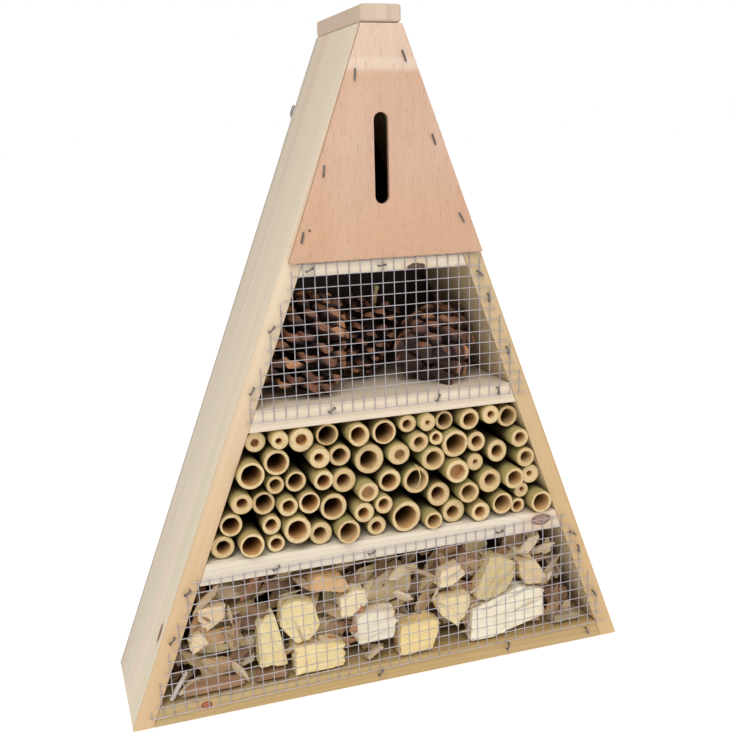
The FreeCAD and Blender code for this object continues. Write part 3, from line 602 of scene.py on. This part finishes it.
class HotelFill(bpy.types.PropertyGroup):
    cut_colour: colour_setting("Cut bamboo", "Colour of a cane's sawn end", 0.70, 0.54, 0.29)
    skin_colour: colour_setting("Bamboo skin", "Colour of a cane's skin", 0.50, 0.37, 0.15)
    bore_colour: colour_setting("Bamboo bore", "Colour inside a cane's mouth", 0.56, 0.29, 0.10)
    cane_sides: count_setting("Cane sides", "Faces round a cane", 28)
    scales_per_cone: count_setting("Cone scales", "Scales on the largest cone", 84)
    chip_voxel: size_setting("Chip detail", "Size of a broken piece's facets", 0.85 * MM)
    litter: count_setting("Litter", "Small shards between the broken wood", 200)
    plates: count_setting("Plates", "Flat shards behind the broken wood", 90)


class HotelMetal(bpy.types.PropertyGroup):
    wire_waver: size_setting("Wire waver", "How far a mesh wire strays from straight", 0.22 * MM)
    wire_colour: colour_setting("Mesh wire", "Colour of the zinc coat", 0.50, 0.47, 0.49)
    wire_share: number_setting("Wire", "Share of the CAD wire's thickness that the drawn wire has", 0.74)
    weld_size: size_setting("Weld", "Width of a weld between two wires", 0.85 * MM)


class HotelStage(bpy.types.PropertyGroup):
    floor_colour: colour_setting("Floor", "Colour of the floor", 0.93, 0.93, 0.93)
    floor_glow: number_setting("Floor glow", "Light that the floor adds of its own", 0.32)
    key_power: number_setting("Key light", "Strength of the main light", 2.2)
    fill_share: number_setting("Fill light", "Share of the main light that the second one has", 0.2)
    softness: number_setting("Softness", "Width of the two lights in degrees", 42.0)
    sky: number_setting("Sky", "Strength of the even light all round", 0.32)


# ---- operators ----

class MakeBoards(bpy.types.Operator):
    """Ease the edges of the six boards and give each its own wood"""
    bl_idname = "insect_hotel.boards"
    bl_label = "Boards"

    def execute(self, context):
        radius = context.scene.hotel_wood.board_edge
        for node, look in board_looks().items():
            piece = eased(node, node + "_wood", radius)
            finish_piece(piece, node, look, 40)
        return {"FINISHED"}


class MakeCap(bpy.types.Operator):
    """Give the cap its wood"""
    bl_idname = "insect_hotel.cap"
    bl_label = "Cap"

    def execute(self, context):
        look = pine("cap_pine", (0.61, 0.455, 0.35), (0.47, 0.33, 0.235), middle_of("top_cap"), 0,
                    (0.05, 0.4), 2.2 * MM)
        finish_piece(copied("top_cap", "top_cap_wood"), "top_cap", look, 35)
        return {"FINISHED"}


class MakePanels(bpy.types.Operator):
    """Ease the two panels' edges, and give them plywood in front and hardboard behind"""
    bl_idname = "insect_hotel.panels"
    bl_label = "Panels"

    def execute(self, context):
        wood = context.scene.hotel_wood
        looks = {"front_panel": plywood("plywood_front", wood.panel_colour, wood.core_colour,
                                        middle_of("front_panel").y),
                 # the back panel's nearly black inner colour is painted shade
                 "back_panel": hardboard("hardboard_back_with_painted_shade", (0.66, 0.57, 0.49), (0.045, 0.03, 0.024),
                                         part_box("back_panel")[0].y)}
        for node, look in looks.items():
            piece = copied(node, node + "_sheet")
            with editing(piece):
                bpy.ops.mesh.edges_select_sharp(sharpness=math.radians(40))
                bpy.ops.mesh.bevel(offset=wood.panel_edge, segments=2, affect="EDGES")
            finish_piece(piece, node, look, 35)
        return {"FINISHED"}


# the least step between two stations of a template
TINY = 1e-4


def cane_template(sides):
    """A cane's stations in code: 2 is the skin, 1 the bore, 0 the axis, and along in shares."""
    profile = ((2, 1), (2, 0.75), (2, 0.5), (2, 0.25), (2, 0.08), (2, 0.03), (2, 0.006), (1.93, 0),
               (1.6, 0), (1.3, 0), (1.07, 0), (1, 0.008), (1, 0.06), (1, 0.2), (1, 0.5), (1, 0.96),
               (0.9, 1), (0.45, 1))
    return lathe("cane_template", sides, profile)


def read_cane(points):
    """A cane's axis, radius, bore, mouth, rear and partition, read from its CAD solid."""
    low, high = corners(points)
    centre = (low + high) / 2
    radius = (high.x - low.x) / 2
    spokes = [(math.hypot(p.x - centre.x, p.z - centre.z), p.y) for p in points]
    bore = min(spoke for spoke, y in spokes if abs(y - low.y) < MERGE)
    inner = sorted({round(y, 5) for spoke, y in spokes if spoke < (bore + radius) / 2})
    return centre, radius, bore, low.y, high.y, inner[1]


def shape_cane(piece, template, facts, chance):
    """Lay a template's points along one cane, with the unevenness of a grown stem."""
    centre, radius, bore, mouth, rear, wall = facts
    oval = chance.uniform(0.0, 0.05)
    oval_turn = chance.uniform(0, math.pi)
    drift = Vector((chance.uniform(-1, 1), 0, chance.uniform(-1, 1))) * (radius - bore) * 0.16
    tilt_x = chance.uniform(-0.05, 0.05)
    tilt_z = chance.uniform(-0.07, 0.07)
    seed = chance.uniform(0, 90)
    reaches = []
    for vertex, source in zip(piece.data.vertices, template.data.vertices):
        code = math.hypot(source.co.x, source.co.z)
        share = source.co.y
        angle = math.atan2(source.co.z, source.co.x)
        wobble = noise.noise(Vector((math.cos(angle) * 1.1, math.sin(angle) * 1.1, seed)))
        squash = oval * (0.5 + 0.5 * math.cos(2 * (angle - oval_turn)))
        wide = radius * (1 - squash) * (0.985 + 0.014 * wobble)
        inner = noise.noise(Vector((math.cos(angle) * 1.6, math.sin(angle) * 1.6, seed + 7 + share)))
        narrow = bore * (1 + 0.07 * inner)
        spoke = narrow + (code - 1) * (wide - narrow) if code >= 1 else narrow * code
        aside = drift * max(0.0, min(1.0, 2 - code))
        along = mouth + share * ((rear - mouth) if code > 1.95 else (wall - mouth))
        x = spoke * math.cos(angle)
        z = spoke * math.sin(angle)
        near = max(0.0, 1 - (along - mouth) / (4 * MM))
        along += near * (tilt_x * x + tilt_z * z)
        if 1.93 >= code >= 1.07 - TINY and share < TINY:
            along += 0.1 * MM * noise.noise(Vector((x, z, seed * MM)) * 1400)
        vertex.co = Vector((centre.x + x, along, centre.z + z)) + aside
        reaches.append(max(0.0, min(1.0, code - 1)))
    write_numbers(piece, tone=chance.random(), reach=reaches)


# where across and up the cane lies that a fibre is torn from
TORN_CANE = (17.5 * MM, 126 * MM)


def loose_fibre(facts):
    """A strand torn from a cane's rim, which hangs across its mouth."""
    centre, radius, _, mouth = facts[:4]
    strand = lathe("loose_fibre", 5, [(1, step / 12) for step in range(13)])
    for vertex in strand.data.vertices:
        share = vertex.co.y
        thick = 0.45 * MM * (1 - 0.6 * share)
        bow = math.sin(math.pi * share)
        vertex.co = Vector((centre.x + radius * (0.3 * bow - 0.05) + vertex.co.x * thick,
                            mouth - 0.3 * MM - 1.2 * MM * bow + vertex.co.z * thick,
                            centre.z + radius * (1.15 - 1.8 * share)))
    write_numbers(strand, tone=0.1, reach=0.5)
    return strand


class MakeCanes(bpy.types.Operator):
    """Lay the bamboo canes, one piece for each course"""
    bl_idname = "insect_hotel.canes"
    bl_label = "Bamboo canes"

    def execute(self, context):
        fill = context.scene.hotel_fill
        template = cane_template(fill.cane_sides)
        looks = [bamboo_skin_with_painted_shade(fill.skin_colour, (0.38, 0.34, 0.12)),
                 bamboo_cut(fill.cut_colour, (0.36, 0.26, 0.09)),
                 # the bore's last colour, nearly black, is painted shade deep inside the cane
                 bamboo_bore_with_painted_shade(fill.bore_colour, (0.07, 0.028, 0.012))]
        for look in looks:
            template.data.materials.append(look)
        points = template.data.vertices
        for face in template.data.polygons:
            codes = [math.hypot(points[i].co.x, points[i].co.z) for i in face.vertices]
            shares = [points[i].co.y for i in face.vertices]
            if min(codes) > 1.99:
                face.material_index = 0
            elif max(shares) < 0.02 and min(codes) > 0.99:
                face.material_index = 1
            else:
                face.material_index = 2
        chance = random.Random(11)
        torn = []
        for course in range(1, 7):
            node = f"bamboo_course_{course}"
            canes = []
            for number, island in enumerate(islands(node)):
                cane = twin(template, f"{node}_{number}")
                facts = read_cane(island)
                shape_cane(cane, template, facts, chance)
                canes.append(cane)
                torn.append((math.hypot(facts[0].x - TORN_CANE[0], facts[0].z - TORN_CANE[1]), facts))
            finish_piece(joined(canes, node + "_canes"), node, None, 32)
        finish_piece(loose_fibre(min(torn, key=lambda entry: entry[0])[1]), None, looks[1], 60)
        bpy.data.objects.remove(template)
        return {"FINISHED"}


def scale_template():
    """One scale of a cone: narrow at the stalk, thick and keeled at its tip. It points along Y."""
    bpy.ops.mesh.primitive_grid_add(x_subdivisions=4, y_subdivisions=5, size=2, location=(0, 0, 0))
    piece = bpy.context.object
    piece.name = "scale_template"
    with editing(piece):
        bpy.ops.mesh.extrude_region_move(TRANSFORM_OT_translate={"value": (0, 0, -1)})
        bpy.ops.mesh.select_all(action="SELECT")
        bpy.ops.mesh.normals_make_consistent(inside=False)
    tips = []
    for vertex in piece.data.vertices:
        side, along, under = vertex.co.x, (vertex.co.y + 1) / 2, vertex.co.z < -0.5
        along = along ** 0.8
        swell = min(1.0, along / 0.72)
        wide = 0.13 + 0.21 * swell * swell * (3 - 2 * swell)
        if along > 0.74:
            wide *= math.sqrt(max(0.0, 1 - ((along - 0.74) / 0.30) ** 2))
        rise = max(0.0, (along - 0.5) / 0.5)
        thick = 0.05 + 0.19 * rise * (1 - 0.45 * side * side)
        curl = 0.16 * along * along
        vertex.co = Vector((side * wide, along - 0.05 * side * side * along,
                            curl - (thick if under else 0) + 0.05 * side * side * along))
        tips.append(along * (0.91 if under else 1.0))
    write_numbers(piece, tip=tips)
    return piece


def girth(share, width):
    """A cone's radius at a share of its length from the stalk."""
    return 0.5 * width * math.sin(math.pi * min(max(share, 0.0), 1.0) ** 0.72) ** 0.6


def grow_cone(name, node, length, width, axis, reflex, aside, count, template, look, chance):
    """Set scales round a core, each a golden angle on from the last.

    axis runs from the stalk to the tip, and reflex is how far the first scales bend back, in degrees.
    aside moves the cone along X from the middle of its node.
    """
    low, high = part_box(node)
    middle = (low + high) / 2 + Vector((aside, 0, 0))
    stand = axis.normalized().to_track_quat("Z", "Y").to_matrix().to_4x4()
    place = Matrix.Translation(middle - axis.normalized() * length / 2) @ stand
    stations = [step / 8 for step in range(9)]
    core = lathe(name + "_core", 10, [(max(0.6 * MM, 0.3 * girth(station, width)),
                                       length * (0.05 + 0.8 * station)) for station in stations])
    write_numbers(core, tip=0.1, tone=0.2)
    core.data.transform(place @ Matrix.Rotation(math.pi / 2, 4, "X"))
    pieces = [core]
    golden = math.pi * (3 - math.sqrt(5))
    for number in range(count):
        share = (number + 0.5) / count
        root = 0.26 * girth(min(0.92, share * 0.9 + 0.04), width)
        envelope = girth(min(0.97, share * 0.86 + 0.12), width)
        rise = math.radians((58 + reflex) * share ** 1.5 - reflex) + chance.uniform(-0.16, 0.16)
        reach = (envelope - root) / max(0.35, math.cos(rise))
        reach = min(reach, 0.44 * width) * chance.uniform(0.86, 1.02)
        scale = twin(template, f"{name}_{number}")
        spin = number * golden + chance.uniform(-0.06, 0.06)
        turn = (Matrix.Rotation(spin, 4, "Z") @ Matrix.Translation((0, root, length * (0.04 + 0.84 * share)))
                @ Matrix.Rotation(rise, 4, "X") @ Matrix.Rotation(chance.uniform(-0.12, 0.12), 4, "Y")
                @ Matrix.Diagonal((reach * 1.05, reach, reach, 1)))
        scale.data.transform(place @ turn)
        write_numbers(scale, tone=chance.random())
        pieces.append(scale)
    if "middle" in node:
        stem = lathe(name + "_stem", 7, [(1.9 * MM, 4 * MM), (1.5 * MM, -2 * MM), (1.3 * MM, -5 * MM),
                                         (1.6 * MM, -8 * MM)])
        write_numbers(stem, tip=STEM_TIP)
        stem.data.transform(place @ Matrix.Rotation(math.pi / 2, 4, "X"))
        pieces.append(stem)
    finish_piece(joined(pieces, name), node, look, 50)


class MakeCones(bpy.types.Operator):
    """Grow the three pine cones"""
    bl_idname = "insect_hotel.cones"
    bl_label = "Pine cones"

    def execute(self, context):
        count = context.scene.hotel_fill.scales_per_cone
        look = cone_scale_with_painted_light()
        template = scale_template()
        chance = random.Random(5)
        lean = Vector((math.sin(LEAN), 0, math.cos(LEAN)))
        away = Vector((0.5, 0.62, 0.46))
        flip = math.radians(172)
        tilt = math.radians(18)
        down = Vector((math.cos(flip) * math.sin(tilt), -math.sin(flip), math.cos(flip) * math.cos(tilt)))
        cones = (("left_pine_cone", 60 * MM, 50 * MM, lean, 8, 0, 1.0),
                 ("right_pine_cone", 49 * MM, 47 * MM, away, 6, 1.8 * MM, 0.95),
                 ("middle_pine_cone", 48 * MM, 36 * MM, down, 14, 0, 0.85))
        for node, length, width, axis, reflex, aside, share in cones:
            grow_cone(node + "_scales", node, length, width, axis, reflex, aside, int(count * share),
                      template, look, chance)
        bpy.data.objects.remove(template)
        return {"FINISHED"}


# chips from this number on lie behind the rest, and are drawn more simply
FIRST_BACK_CHIP = 21

# a chip's colour, by its number
CHIP_TINTS = (
    (0.80, 0.66, 0.35), (0.80, 0.65, 0.34), (0.82, 0.66, 0.34), (0.64, 0.40, 0.19),
    (0.82, 0.69, 0.44), (0.78, 0.70, 0.54), (0.80, 0.62, 0.29), (0.78, 0.63, 0.36),
    (0.84, 0.77, 0.60), (0.62, 0.49, 0.25), (0.80, 0.65, 0.42), (0.66, 0.49, 0.28),
    (0.76, 0.57, 0.35), (0.80, 0.63, 0.39), (0.46, 0.34, 0.17), (0.74, 0.55, 0.39),
    (0.72, 0.57, 0.33), (0.70, 0.55, 0.32), (0.58, 0.39, 0.25), (0.62, 0.49, 0.31),
    (0.34, 0.21, 0.12), (0.32, 0.20, 0.11), (0.34, 0.22, 0.12), (0.28, 0.17, 0.09),
)
BARK_TINTS = ((0.32, 0.23, 0.16), (0.36, 0.21, 0.12), (0.32, 0.18, 0.10), (0.30, 0.15, 0.08),
              (0.28, 0.16, 0.09), (0.36, 0.28, 0.17), (0.34, 0.27, 0.17))
SLIVER_TINTS = ((0.62, 0.56, 0.50), (0.74, 0.62, 0.44), (0.54, 0.40, 0.25), (0.46, 0.40, 0.22),
                (0.32, 0.18, 0.10), (0.52, 0.38, 0.24), (0.46, 0.25, 0.12), (0.44, 0.36, 0.20))
LITTER_TINTS = ((0.52, 0.38, 0.22), (0.32, 0.19, 0.10), (0.64, 0.50, 0.31), (0.72, 0.58, 0.38),
                (0.20, 0.11, 0.07), (0.42, 0.31, 0.19), (0.46, 0.22, 0.12), (0.36, 0.30, 0.20),
                (0.66, 0.50, 0.36), (0.27, 0.16, 0.09))
PLATE_TINTS = ((0.60, 0.47, 0.26), (0.44, 0.31, 0.17), (0.52, 0.36, 0.20), (0.68, 0.55, 0.33),
               (0.34, 0.20, 0.11), (0.50, 0.40, 0.22), (0.58, 0.36, 0.18), (0.28, 0.17, 0.10))


def grain_frame(points):
    """The middle of a broken piece, the way its fibres run, along its longest side, and across them."""
    middle = sum(points, Vector()) / len(points)
    xx = sum((p.x - middle.x) ** 2 for p in points)
    zz = sum((p.z - middle.z) ** 2 for p in points)
    xz = sum((p.x - middle.x) * (p.z - middle.z) for p in points)
    angle = 0.5 * math.atan2(2 * xz, xx - zz)
    along = Vector((math.cos(angle), 0, math.sin(angle)))
    return middle, along, Vector((-along.z, 0, along.x))


def tear(piece, tint, seed, rough):
    """Roughen a broken piece: furrows along its fibres, layers torn off, and splintered ends."""
    points = [vertex.co.copy() for vertex in piece.data.vertices]
    normals = [vertex.normal.copy() for vertex in piece.data.vertices]
    middle, along, across = grain_frame(points)
    reaches = [(point - middle).dot(along) for point in points]
    first, last = min(reaches), max(reaches)
    shift = Vector((seed, 2 * seed, 3 * seed))
    grain = []
    for vertex, point, normal, reach in zip(piece.data.vertices, points, normals, reaches):
        place = point - middle
        side = place.dot(across)
        fibre = noise.noise(Vector((reach * 60, side * 640, place.y * 640)) + shift)
        furrow = abs(noise.noise(Vector((reach * 20, side * 190, place.y * 190)) + shift))
        layer = noise.noise(Vector((reach * 30, side * 85, place.y * 40)) + shift)
        torn = math.floor(3 * (layer + 0.5)) / 3
        moved = point - normal * rough * (0.1 + 0.3 * fibre + 0.5 * furrow)
        if normal.y < -0.4:
            moved.y += max(0.0, torn) * 3.4 * rough
        jag = abs(noise.noise(Vector((seed, side * 210, place.y * 120))))
        jag += 0.5 * abs(noise.noise(Vector((seed + 5, side * 620, place.y * 400))))
        end = max(0.0, 1 - min(reach - first, last - reach) / (4 * MM))
        pull = end * jag * 3.2 * MM
        vertex.co = moved + along * (pull if reach - first < last - reach else -pull)
        grain.append(Vector((reach, side, place.y)) + shift * 0.37)
    write_wood(piece, grain, tint)


def remeshed(piece, voxel):
    only(piece)
    modifier = piece.modifiers.new("facets", "REMESH")
    modifier.mode = "VOXEL"
    modifier.voxel_size = voxel
    bpy.ops.object.modifier_apply(modifier=modifier.name)
    return piece


def split_apart(node, name):
    """The separate solids of a CAD node as pieces, in a fixed order."""
    with editing(copied(node, name)):
        bpy.ops.mesh.separate(type="LOOSE")
    pieces = list(bpy.context.selected_objects)
    pieces.sort(key=lambda item: tuple(round(c, 5) for c in corners([v.co for v in item.data.vertices])[0]))
    return pieces


# where the ragged edges of the shards start from, so that each run draws the same ones
LITTER_SEED = 3


def inner_half(height):
    """Half the width between the side boards at a height."""
    return INNER_BASE - height * math.tan(LEAN)


def shard_template():
    """A flat splinter along X, one unit long, thinning to both ends."""
    bpy.ops.mesh.primitive_cube_add(size=1, location=(0, 0, 0))
    piece = bpy.context.object
    with editing(piece):
        bpy.ops.mesh.subdivide(number_cuts=2)
    for vertex in piece.data.vertices:
        thin = 1 - 0.75 * abs(2 * vertex.co.x) ** 2.5
        vertex.co.y *= thin
        vertex.co.z *= thin
    return piece


def shard_fits(points):
    """Whether a shard lies clear of the floor, the shelf, the mesh and the side boards."""
    margin = 0.7 * MM
    return all(FLOOR_TOP + margin < p.z < BAY_ROOF - margin and p.y > FRONT + 2 * margin
               and abs(p.x) < inner_half(p.z) - 2 * margin for p in points)


def scatter_litter(count, longest, widest, set_back, tumble, tints, template, chance):
    """Shards between and behind the large pieces, more of them near the floor.

    longest, widest and set_back are in millimetres, and tumble is how far a shard turns out of the
    front's plane, in radians.
    """
    pieces = []
    while len(pieces) < count:
        height = FLOOR_TOP + (BAY_ROOF - FLOOR_TOP) * (0.03 + 0.83 * chance.random() ** 1.5)
        across = chance.uniform(-1, 1) * inner_half(height)
        size = Vector((chance.uniform(0.3, 1) * longest, chance.uniform(0.8, 2.4),
                       chance.uniform(0.3, 1) * widest)) * MM
        turn = (Matrix.Translation((across, FRONT + chance.uniform(*set_back) * MM, height))
                @ Matrix.Rotation(chance.gauss(0, 0.75), 4, "Y")
                @ Matrix.Rotation(chance.gauss(0, 0.4) * tumble, 4, "Z")
                @ Matrix.Rotation(chance.uniform(-1, 1) * tumble, 4, "X"))
        shard = twin(template, f"shard_{len(pieces)}")
        grain = []
        seed = chance.uniform(0, 60)
        for vertex in shard.data.vertices:
            place = Vector(vertex.co[axis] * size[axis] for axis in range(3))
            grain.append(place + Vector((seed, seed, 0)))
            bend = noise.noise(Vector((vertex.co.x * 1.3, seed, 0))) * size.z * 0.6
            ragged = noise.noise_vector(vertex.co * 3.1 + Vector((seed, 0, 0))) * size.z * 0.22
            vertex.co = place + Vector((ragged.x * 2, ragged.y * 0.5, ragged.z + bend))
        shard.data.transform(turn)
        if not shard_fits([vertex.co for vertex in shard.data.vertices]):
            bpy.data.objects.remove(shard)
            continue
        write_wood(shard, grain, chance.choice(tints))
        pieces.append(shard)
    return pieces


class MakeBrokenWood(bpy.types.Operator):
    """Tear the broken wood, the bark and the slivers"""
    bl_idname = "insect_hotel.broken_wood"
    bl_label = "Broken wood"

    def execute(self, context):
        fill = context.scene.hotel_fill
        # the second number is how strong the painted shade in the furrows is
        split = torn_wood("split_wood", 0.5, 0.5)
        bark = torn_wood("bark", 0.9, 0.9)
        for number, tint in enumerate(CHIP_TINTS, start=1):
            node = f"wood_chip_{number:02d}"
            piece = remeshed(copied(node, node + "_torn"),
                             fill.chip_voxel * (1 if number < FIRST_BACK_CHIP else 1.8))
            tear(piece, tint, 3.7 * number, 0.4 * MM)
            finish_piece(piece, node, split, 30)
        for node, tints, look, slot in (("bark_strips", BARK_TINTS, bark, "bark"),
                                        ("wood_slivers", SLIVER_TINTS, split, "split_wood")):
            pieces = split_apart(node, node + "_torn")
            for number, (piece, tint) in enumerate(zip(pieces, tints)):
                remeshed(piece, fill.chip_voxel * 0.7)
                tear(piece, tint, 50 + 2.9 * number, 0.35 * MM)
            finish_piece(joined(pieces, node + "_torn"), node, look, 30)
        template = shard_template()
        noise.seed_set(LITTER_SEED)
        litter = scatter_litter(fill.litter, 25, 7, (3, 30), 0.9, LITTER_TINTS, template,
                                random.Random(23))
        litter += scatter_litter(fill.plates, 34, 15, (11, 34), 0.35, PLATE_TINTS, template,
                                 random.Random(31))
        finish_piece(joined(litter, "wood_litter"), None, split, 30)
        bpy.data.objects.remove(template)
        return {"FINISHED"}


def wire_ends(points):
    """The middles of a straight wire's two ends, and its radius."""
    low, high = corners(points)
    axis = 2 if high.z - low.z > high.x - low.x else 0
    near = [point for point in points if point[axis] < low[axis] + 0.1 * MM]
    far = [point for point in points if point[axis] > high[axis] - 0.1 * MM]
    ends = [sum(group, Vector()) / len(group) for group in (near, far)]
    return ends[0], ends[1], (high.y - low.y) / 2


def run_wire(wire, start, end, radius, waver, seed):
    """Lay a straight wire's points from end to end, straying a little on the way."""
    along = end - start
    ahead = along.normalized()
    across = ahead.cross(Vector((0, 1, 0)))
    for vertex in wire.data.vertices:
        share = vertex.co.y
        stray = noise.noise(Vector((share * along.length * 30, seed * 3.1, 0.5)))
        vertex.co = (start + along * share + across * (vertex.co.x * radius + stray * waver)
                     + Vector((0, vertex.co.z * radius, 0)))


class MakeWireMesh(bpy.types.Operator):
    """Draw the two welded wire meshes, wire by wire, with a weld at each crossing"""
    bl_idname = "insect_hotel.wire_mesh"
    bl_label = "Wire meshes"

    def execute(self, context):
        settings = context.scene.hotel_metal
        look = metal("mesh_wire", settings.wire_colour, (0.30, 0.27, 0.29), 0.5, 0.6, 0.45)
        stations = 28
        template = lathe("wire_template", 6, [(1, step / stations) for step in range(stations + 1)])
        bpy.ops.mesh.primitive_uv_sphere_add(segments=6, ring_count=4, radius=0.5)
        bead = bpy.context.object
        for node in ("upper_wire_mesh", "lower_wire_mesh"):
            pieces = []
            uprights = []
            levels = []
            for number, island in enumerate(islands(node)):
                start, end, radius = wire_ends(island)
                upright = abs(end.z - start.z) > abs(end.x - start.x)
                (uprights if upright else levels).append((start, end))
                wire = twin(template, f"{node}_{number}")
                run_wire(wire, start, end, radius * settings.wire_share, settings.wire_waver, number)
                pieces.append(wire)
            for up_start, up_end in uprights:
                for level_start, level_end in levels:
                    spot = intersect_line_line_2d(up_start.xz, up_end.xz, level_start.xz, level_end.xz)
                    if spot:
                        weld = twin(bead, "weld")
                        middle = Vector((spot.x, (up_start.y + level_start.y) / 2, spot.y))
                        weld.data.transform(Matrix.Translation(middle) @ Matrix.Scale(settings.weld_size, 4))
                        pieces.append(weld)
            finish_piece(joined(pieces, node + "_wires"), node, look, 60)
        bpy.data.objects.remove(template)
        bpy.data.objects.remove(bead)
        return {"FINISHED"}


class MakeFastenings(bpy.types.Operator):
    """Round the edges of the staples, and give the staples and brads their steel"""
    bl_idname = "insect_hotel.fastenings"
    bl_label = "Staples and brads"

    def execute(self, context):
        look = metal("staple_steel", (0.23, 0.22, 0.22), (0.12, 0.09, 0.07), 0.38, 0.8, 0.9)
        for node in ("front_panel_staples", "upper_mesh_staples", "lower_mesh_staples",
                     "back_panel_staples"):
            finish_piece(eased(node, node + "_wire", 0.2 * MM), node, look, 40)
        for node in ("side_brads", "cap_brads"):
            finish_piece(copied(node, node + "_wire"), node, look, 40)
        return {"FINISHED"}


class MakeHangers(bpy.types.Operator):
    """Give the two ring hangers their plated steel"""
    bl_idname = "insect_hotel.hangers"
    bl_label = "Ring hangers"

    def execute(self, context):
        look = metal("hanger_steel", (0.55, 0.53, 0.50), (0.34, 0.30, 0.25), 0.3, 0.5)
        for side in ("left", "right"):
            for part, body in (("strap", "root"), ("screw", "root"), ("ring", side + "_ring")):
                node = f"{side}_hanger_{part}"
                finish_piece(copied(node, node + "_plated"), node, look, 35, body)
        return {"FINISHED"}


# where the camera stands, how it turns in degrees, and its lens in millimetres
CAMERA_PLACE = (-0.1767, -0.534, 0.3149)
CAMERA_PAN = 18.46
CAMERA_PITCH = 13.3
CAMERA_ROLL = 1.49
CAMERA_LENS = 47.95


class MakeStage(bpy.types.Operator):
    """Set the floor, the lights and the camera"""
    bl_idname = "insect_hotel.stage"
    bl_label = "Stage"

    def execute(self, context):
        scene = context.scene
        settings = scene.hotel_stage
        bpy.ops.mesh.primitive_plane_add(size=60, location=(0, 0, CAD_LOW.z - 0.5 * MM))
        floor = context.object
        floor.name = "floor"
        paint = Look("floor_paint")
        grain = paint.noise(paint.place, 6, 2)
        colour = paint.shade(settings.floor_colour, 0.97 + grain * 0.06)
        floor.data.materials.append(paint.done(colour, 0.9, Emission_Color=(1, 1, 1, 1),
                                               Emission_Strength=settings.floor_glow))
        scene.world = bpy.data.worlds.new("even_light")
        scene.world.use_nodes = True
        world = scene.world.node_tree
        sky = world.nodes["Background"]
        sky.inputs["Color"].default_value = (1, 1, 1, 1)
        seen = world.nodes.new("ShaderNodeLightPath")
        strength = world.nodes.new("ShaderNodeMapRange")
        strength.inputs["To Min"].default_value = settings.sky
        strength.inputs["To Max"].default_value = 1.0
        world.links.new(seen.outputs["Is Camera Ray"], strength.inputs["Value"])
        world.links.new(strength.outputs["Result"], sky.inputs["Strength"])
        for name, toward, share in (("key", (0.42, 0.8, -1.18), 1.0),
                                    ("fill", (-1.0, 0.9, -0.6), settings.fill_share)):
            light = bpy.data.objects.new(name, bpy.data.lights.new(name, "SUN"))
            light.data.energy = settings.key_power * share
            light.data.angle = math.radians(settings.softness)
            light.rotation_mode = "QUATERNION"
            light.rotation_quaternion = Vector(toward).to_track_quat("-Z", "Y")
            scene.collection.objects.link(light)
        camera = bpy.data.objects.new("camera", bpy.data.cameras.new("camera"))
        camera.data.lens = CAMERA_LENS
        camera.data.sensor_width = 36
        camera.data.clip_start = 0.01
        camera.matrix_world = (Matrix.Translation(CAMERA_PLACE)
                               @ Matrix.Rotation(math.radians(-CAMERA_PAN), 4, "Z")
                               @ Matrix.Rotation(math.radians(90 - CAMERA_PITCH), 4, "X")
                               @ Matrix.Rotation(math.radians(-CAMERA_ROLL), 4, "Z"))
        scene.collection.objects.link(camera)
        scene.camera = camera
        scene.view_settings.view_transform = "Standard"
        return {"FINISHED"}


class InsectHotelPanel(bpy.types.Panel):
    """The insect hotel's makers, in the order that they are used"""
    bl_idname = "VIEW3D_PT_insect_hotel"
    bl_label = "Insect Hotel"
    bl_space_type = "VIEW_3D"
    bl_region_type = "UI"
    bl_category = "Insect Hotel"

    def draw(self, context):
        for maker in MAKERS:
            self.layout.operator(maker.bl_idname)
        for name in SETTINGS:
            settings = getattr(context.scene, name)
            for entry in settings.__annotations__:
                self.layout.prop(settings, entry)


MAKERS = (MakeStage, MakeBoards, MakeCap, MakePanels, MakeCanes, MakeCones, MakeBrokenWood, MakeWireMesh,
          MakeFastenings, MakeHangers)
SETTINGS = {"hotel_wood": HotelWood, "hotel_fill": HotelFill, "hotel_metal": HotelMetal,
            "hotel_stage": HotelStage}


def register():
    for group in SETTINGS.values():
        bpy.utils.register_class(group)
    for name, group in SETTINGS.items():
        setattr(bpy.types.Scene, name, PointerProperty(type=group))
    for maker in MAKERS:
        bpy.utils.register_class(maker)
    bpy.utils.register_class(InsectHotelPanel)


def unregister():
    bpy.utils.unregister_class(InsectHotelPanel)
    for maker in reversed(MAKERS):
        bpy.utils.unregister_class(maker)
    for name, group in SETTINGS.items():
        delattr(bpy.types.Scene, name)
        bpy.utils.unregister_class(group)


def main():
    register()
    bpy.ops.insect_hotel.stage()
    bpy.ops.insect_hotel.boards()
    bpy.ops.insect_hotel.cap()
    bpy.ops.insect_hotel.panels()
    bpy.ops.insect_hotel.canes()
    bpy.ops.insect_hotel.cones()
    bpy.ops.insect_hotel.broken_wood()
    bpy.ops.insect_hotel.wire_mesh()
    bpy.ops.insect_hotel.fastenings()
    bpy.ops.insect_hotel.hangers()


if __name__ == "__main__":
    main()
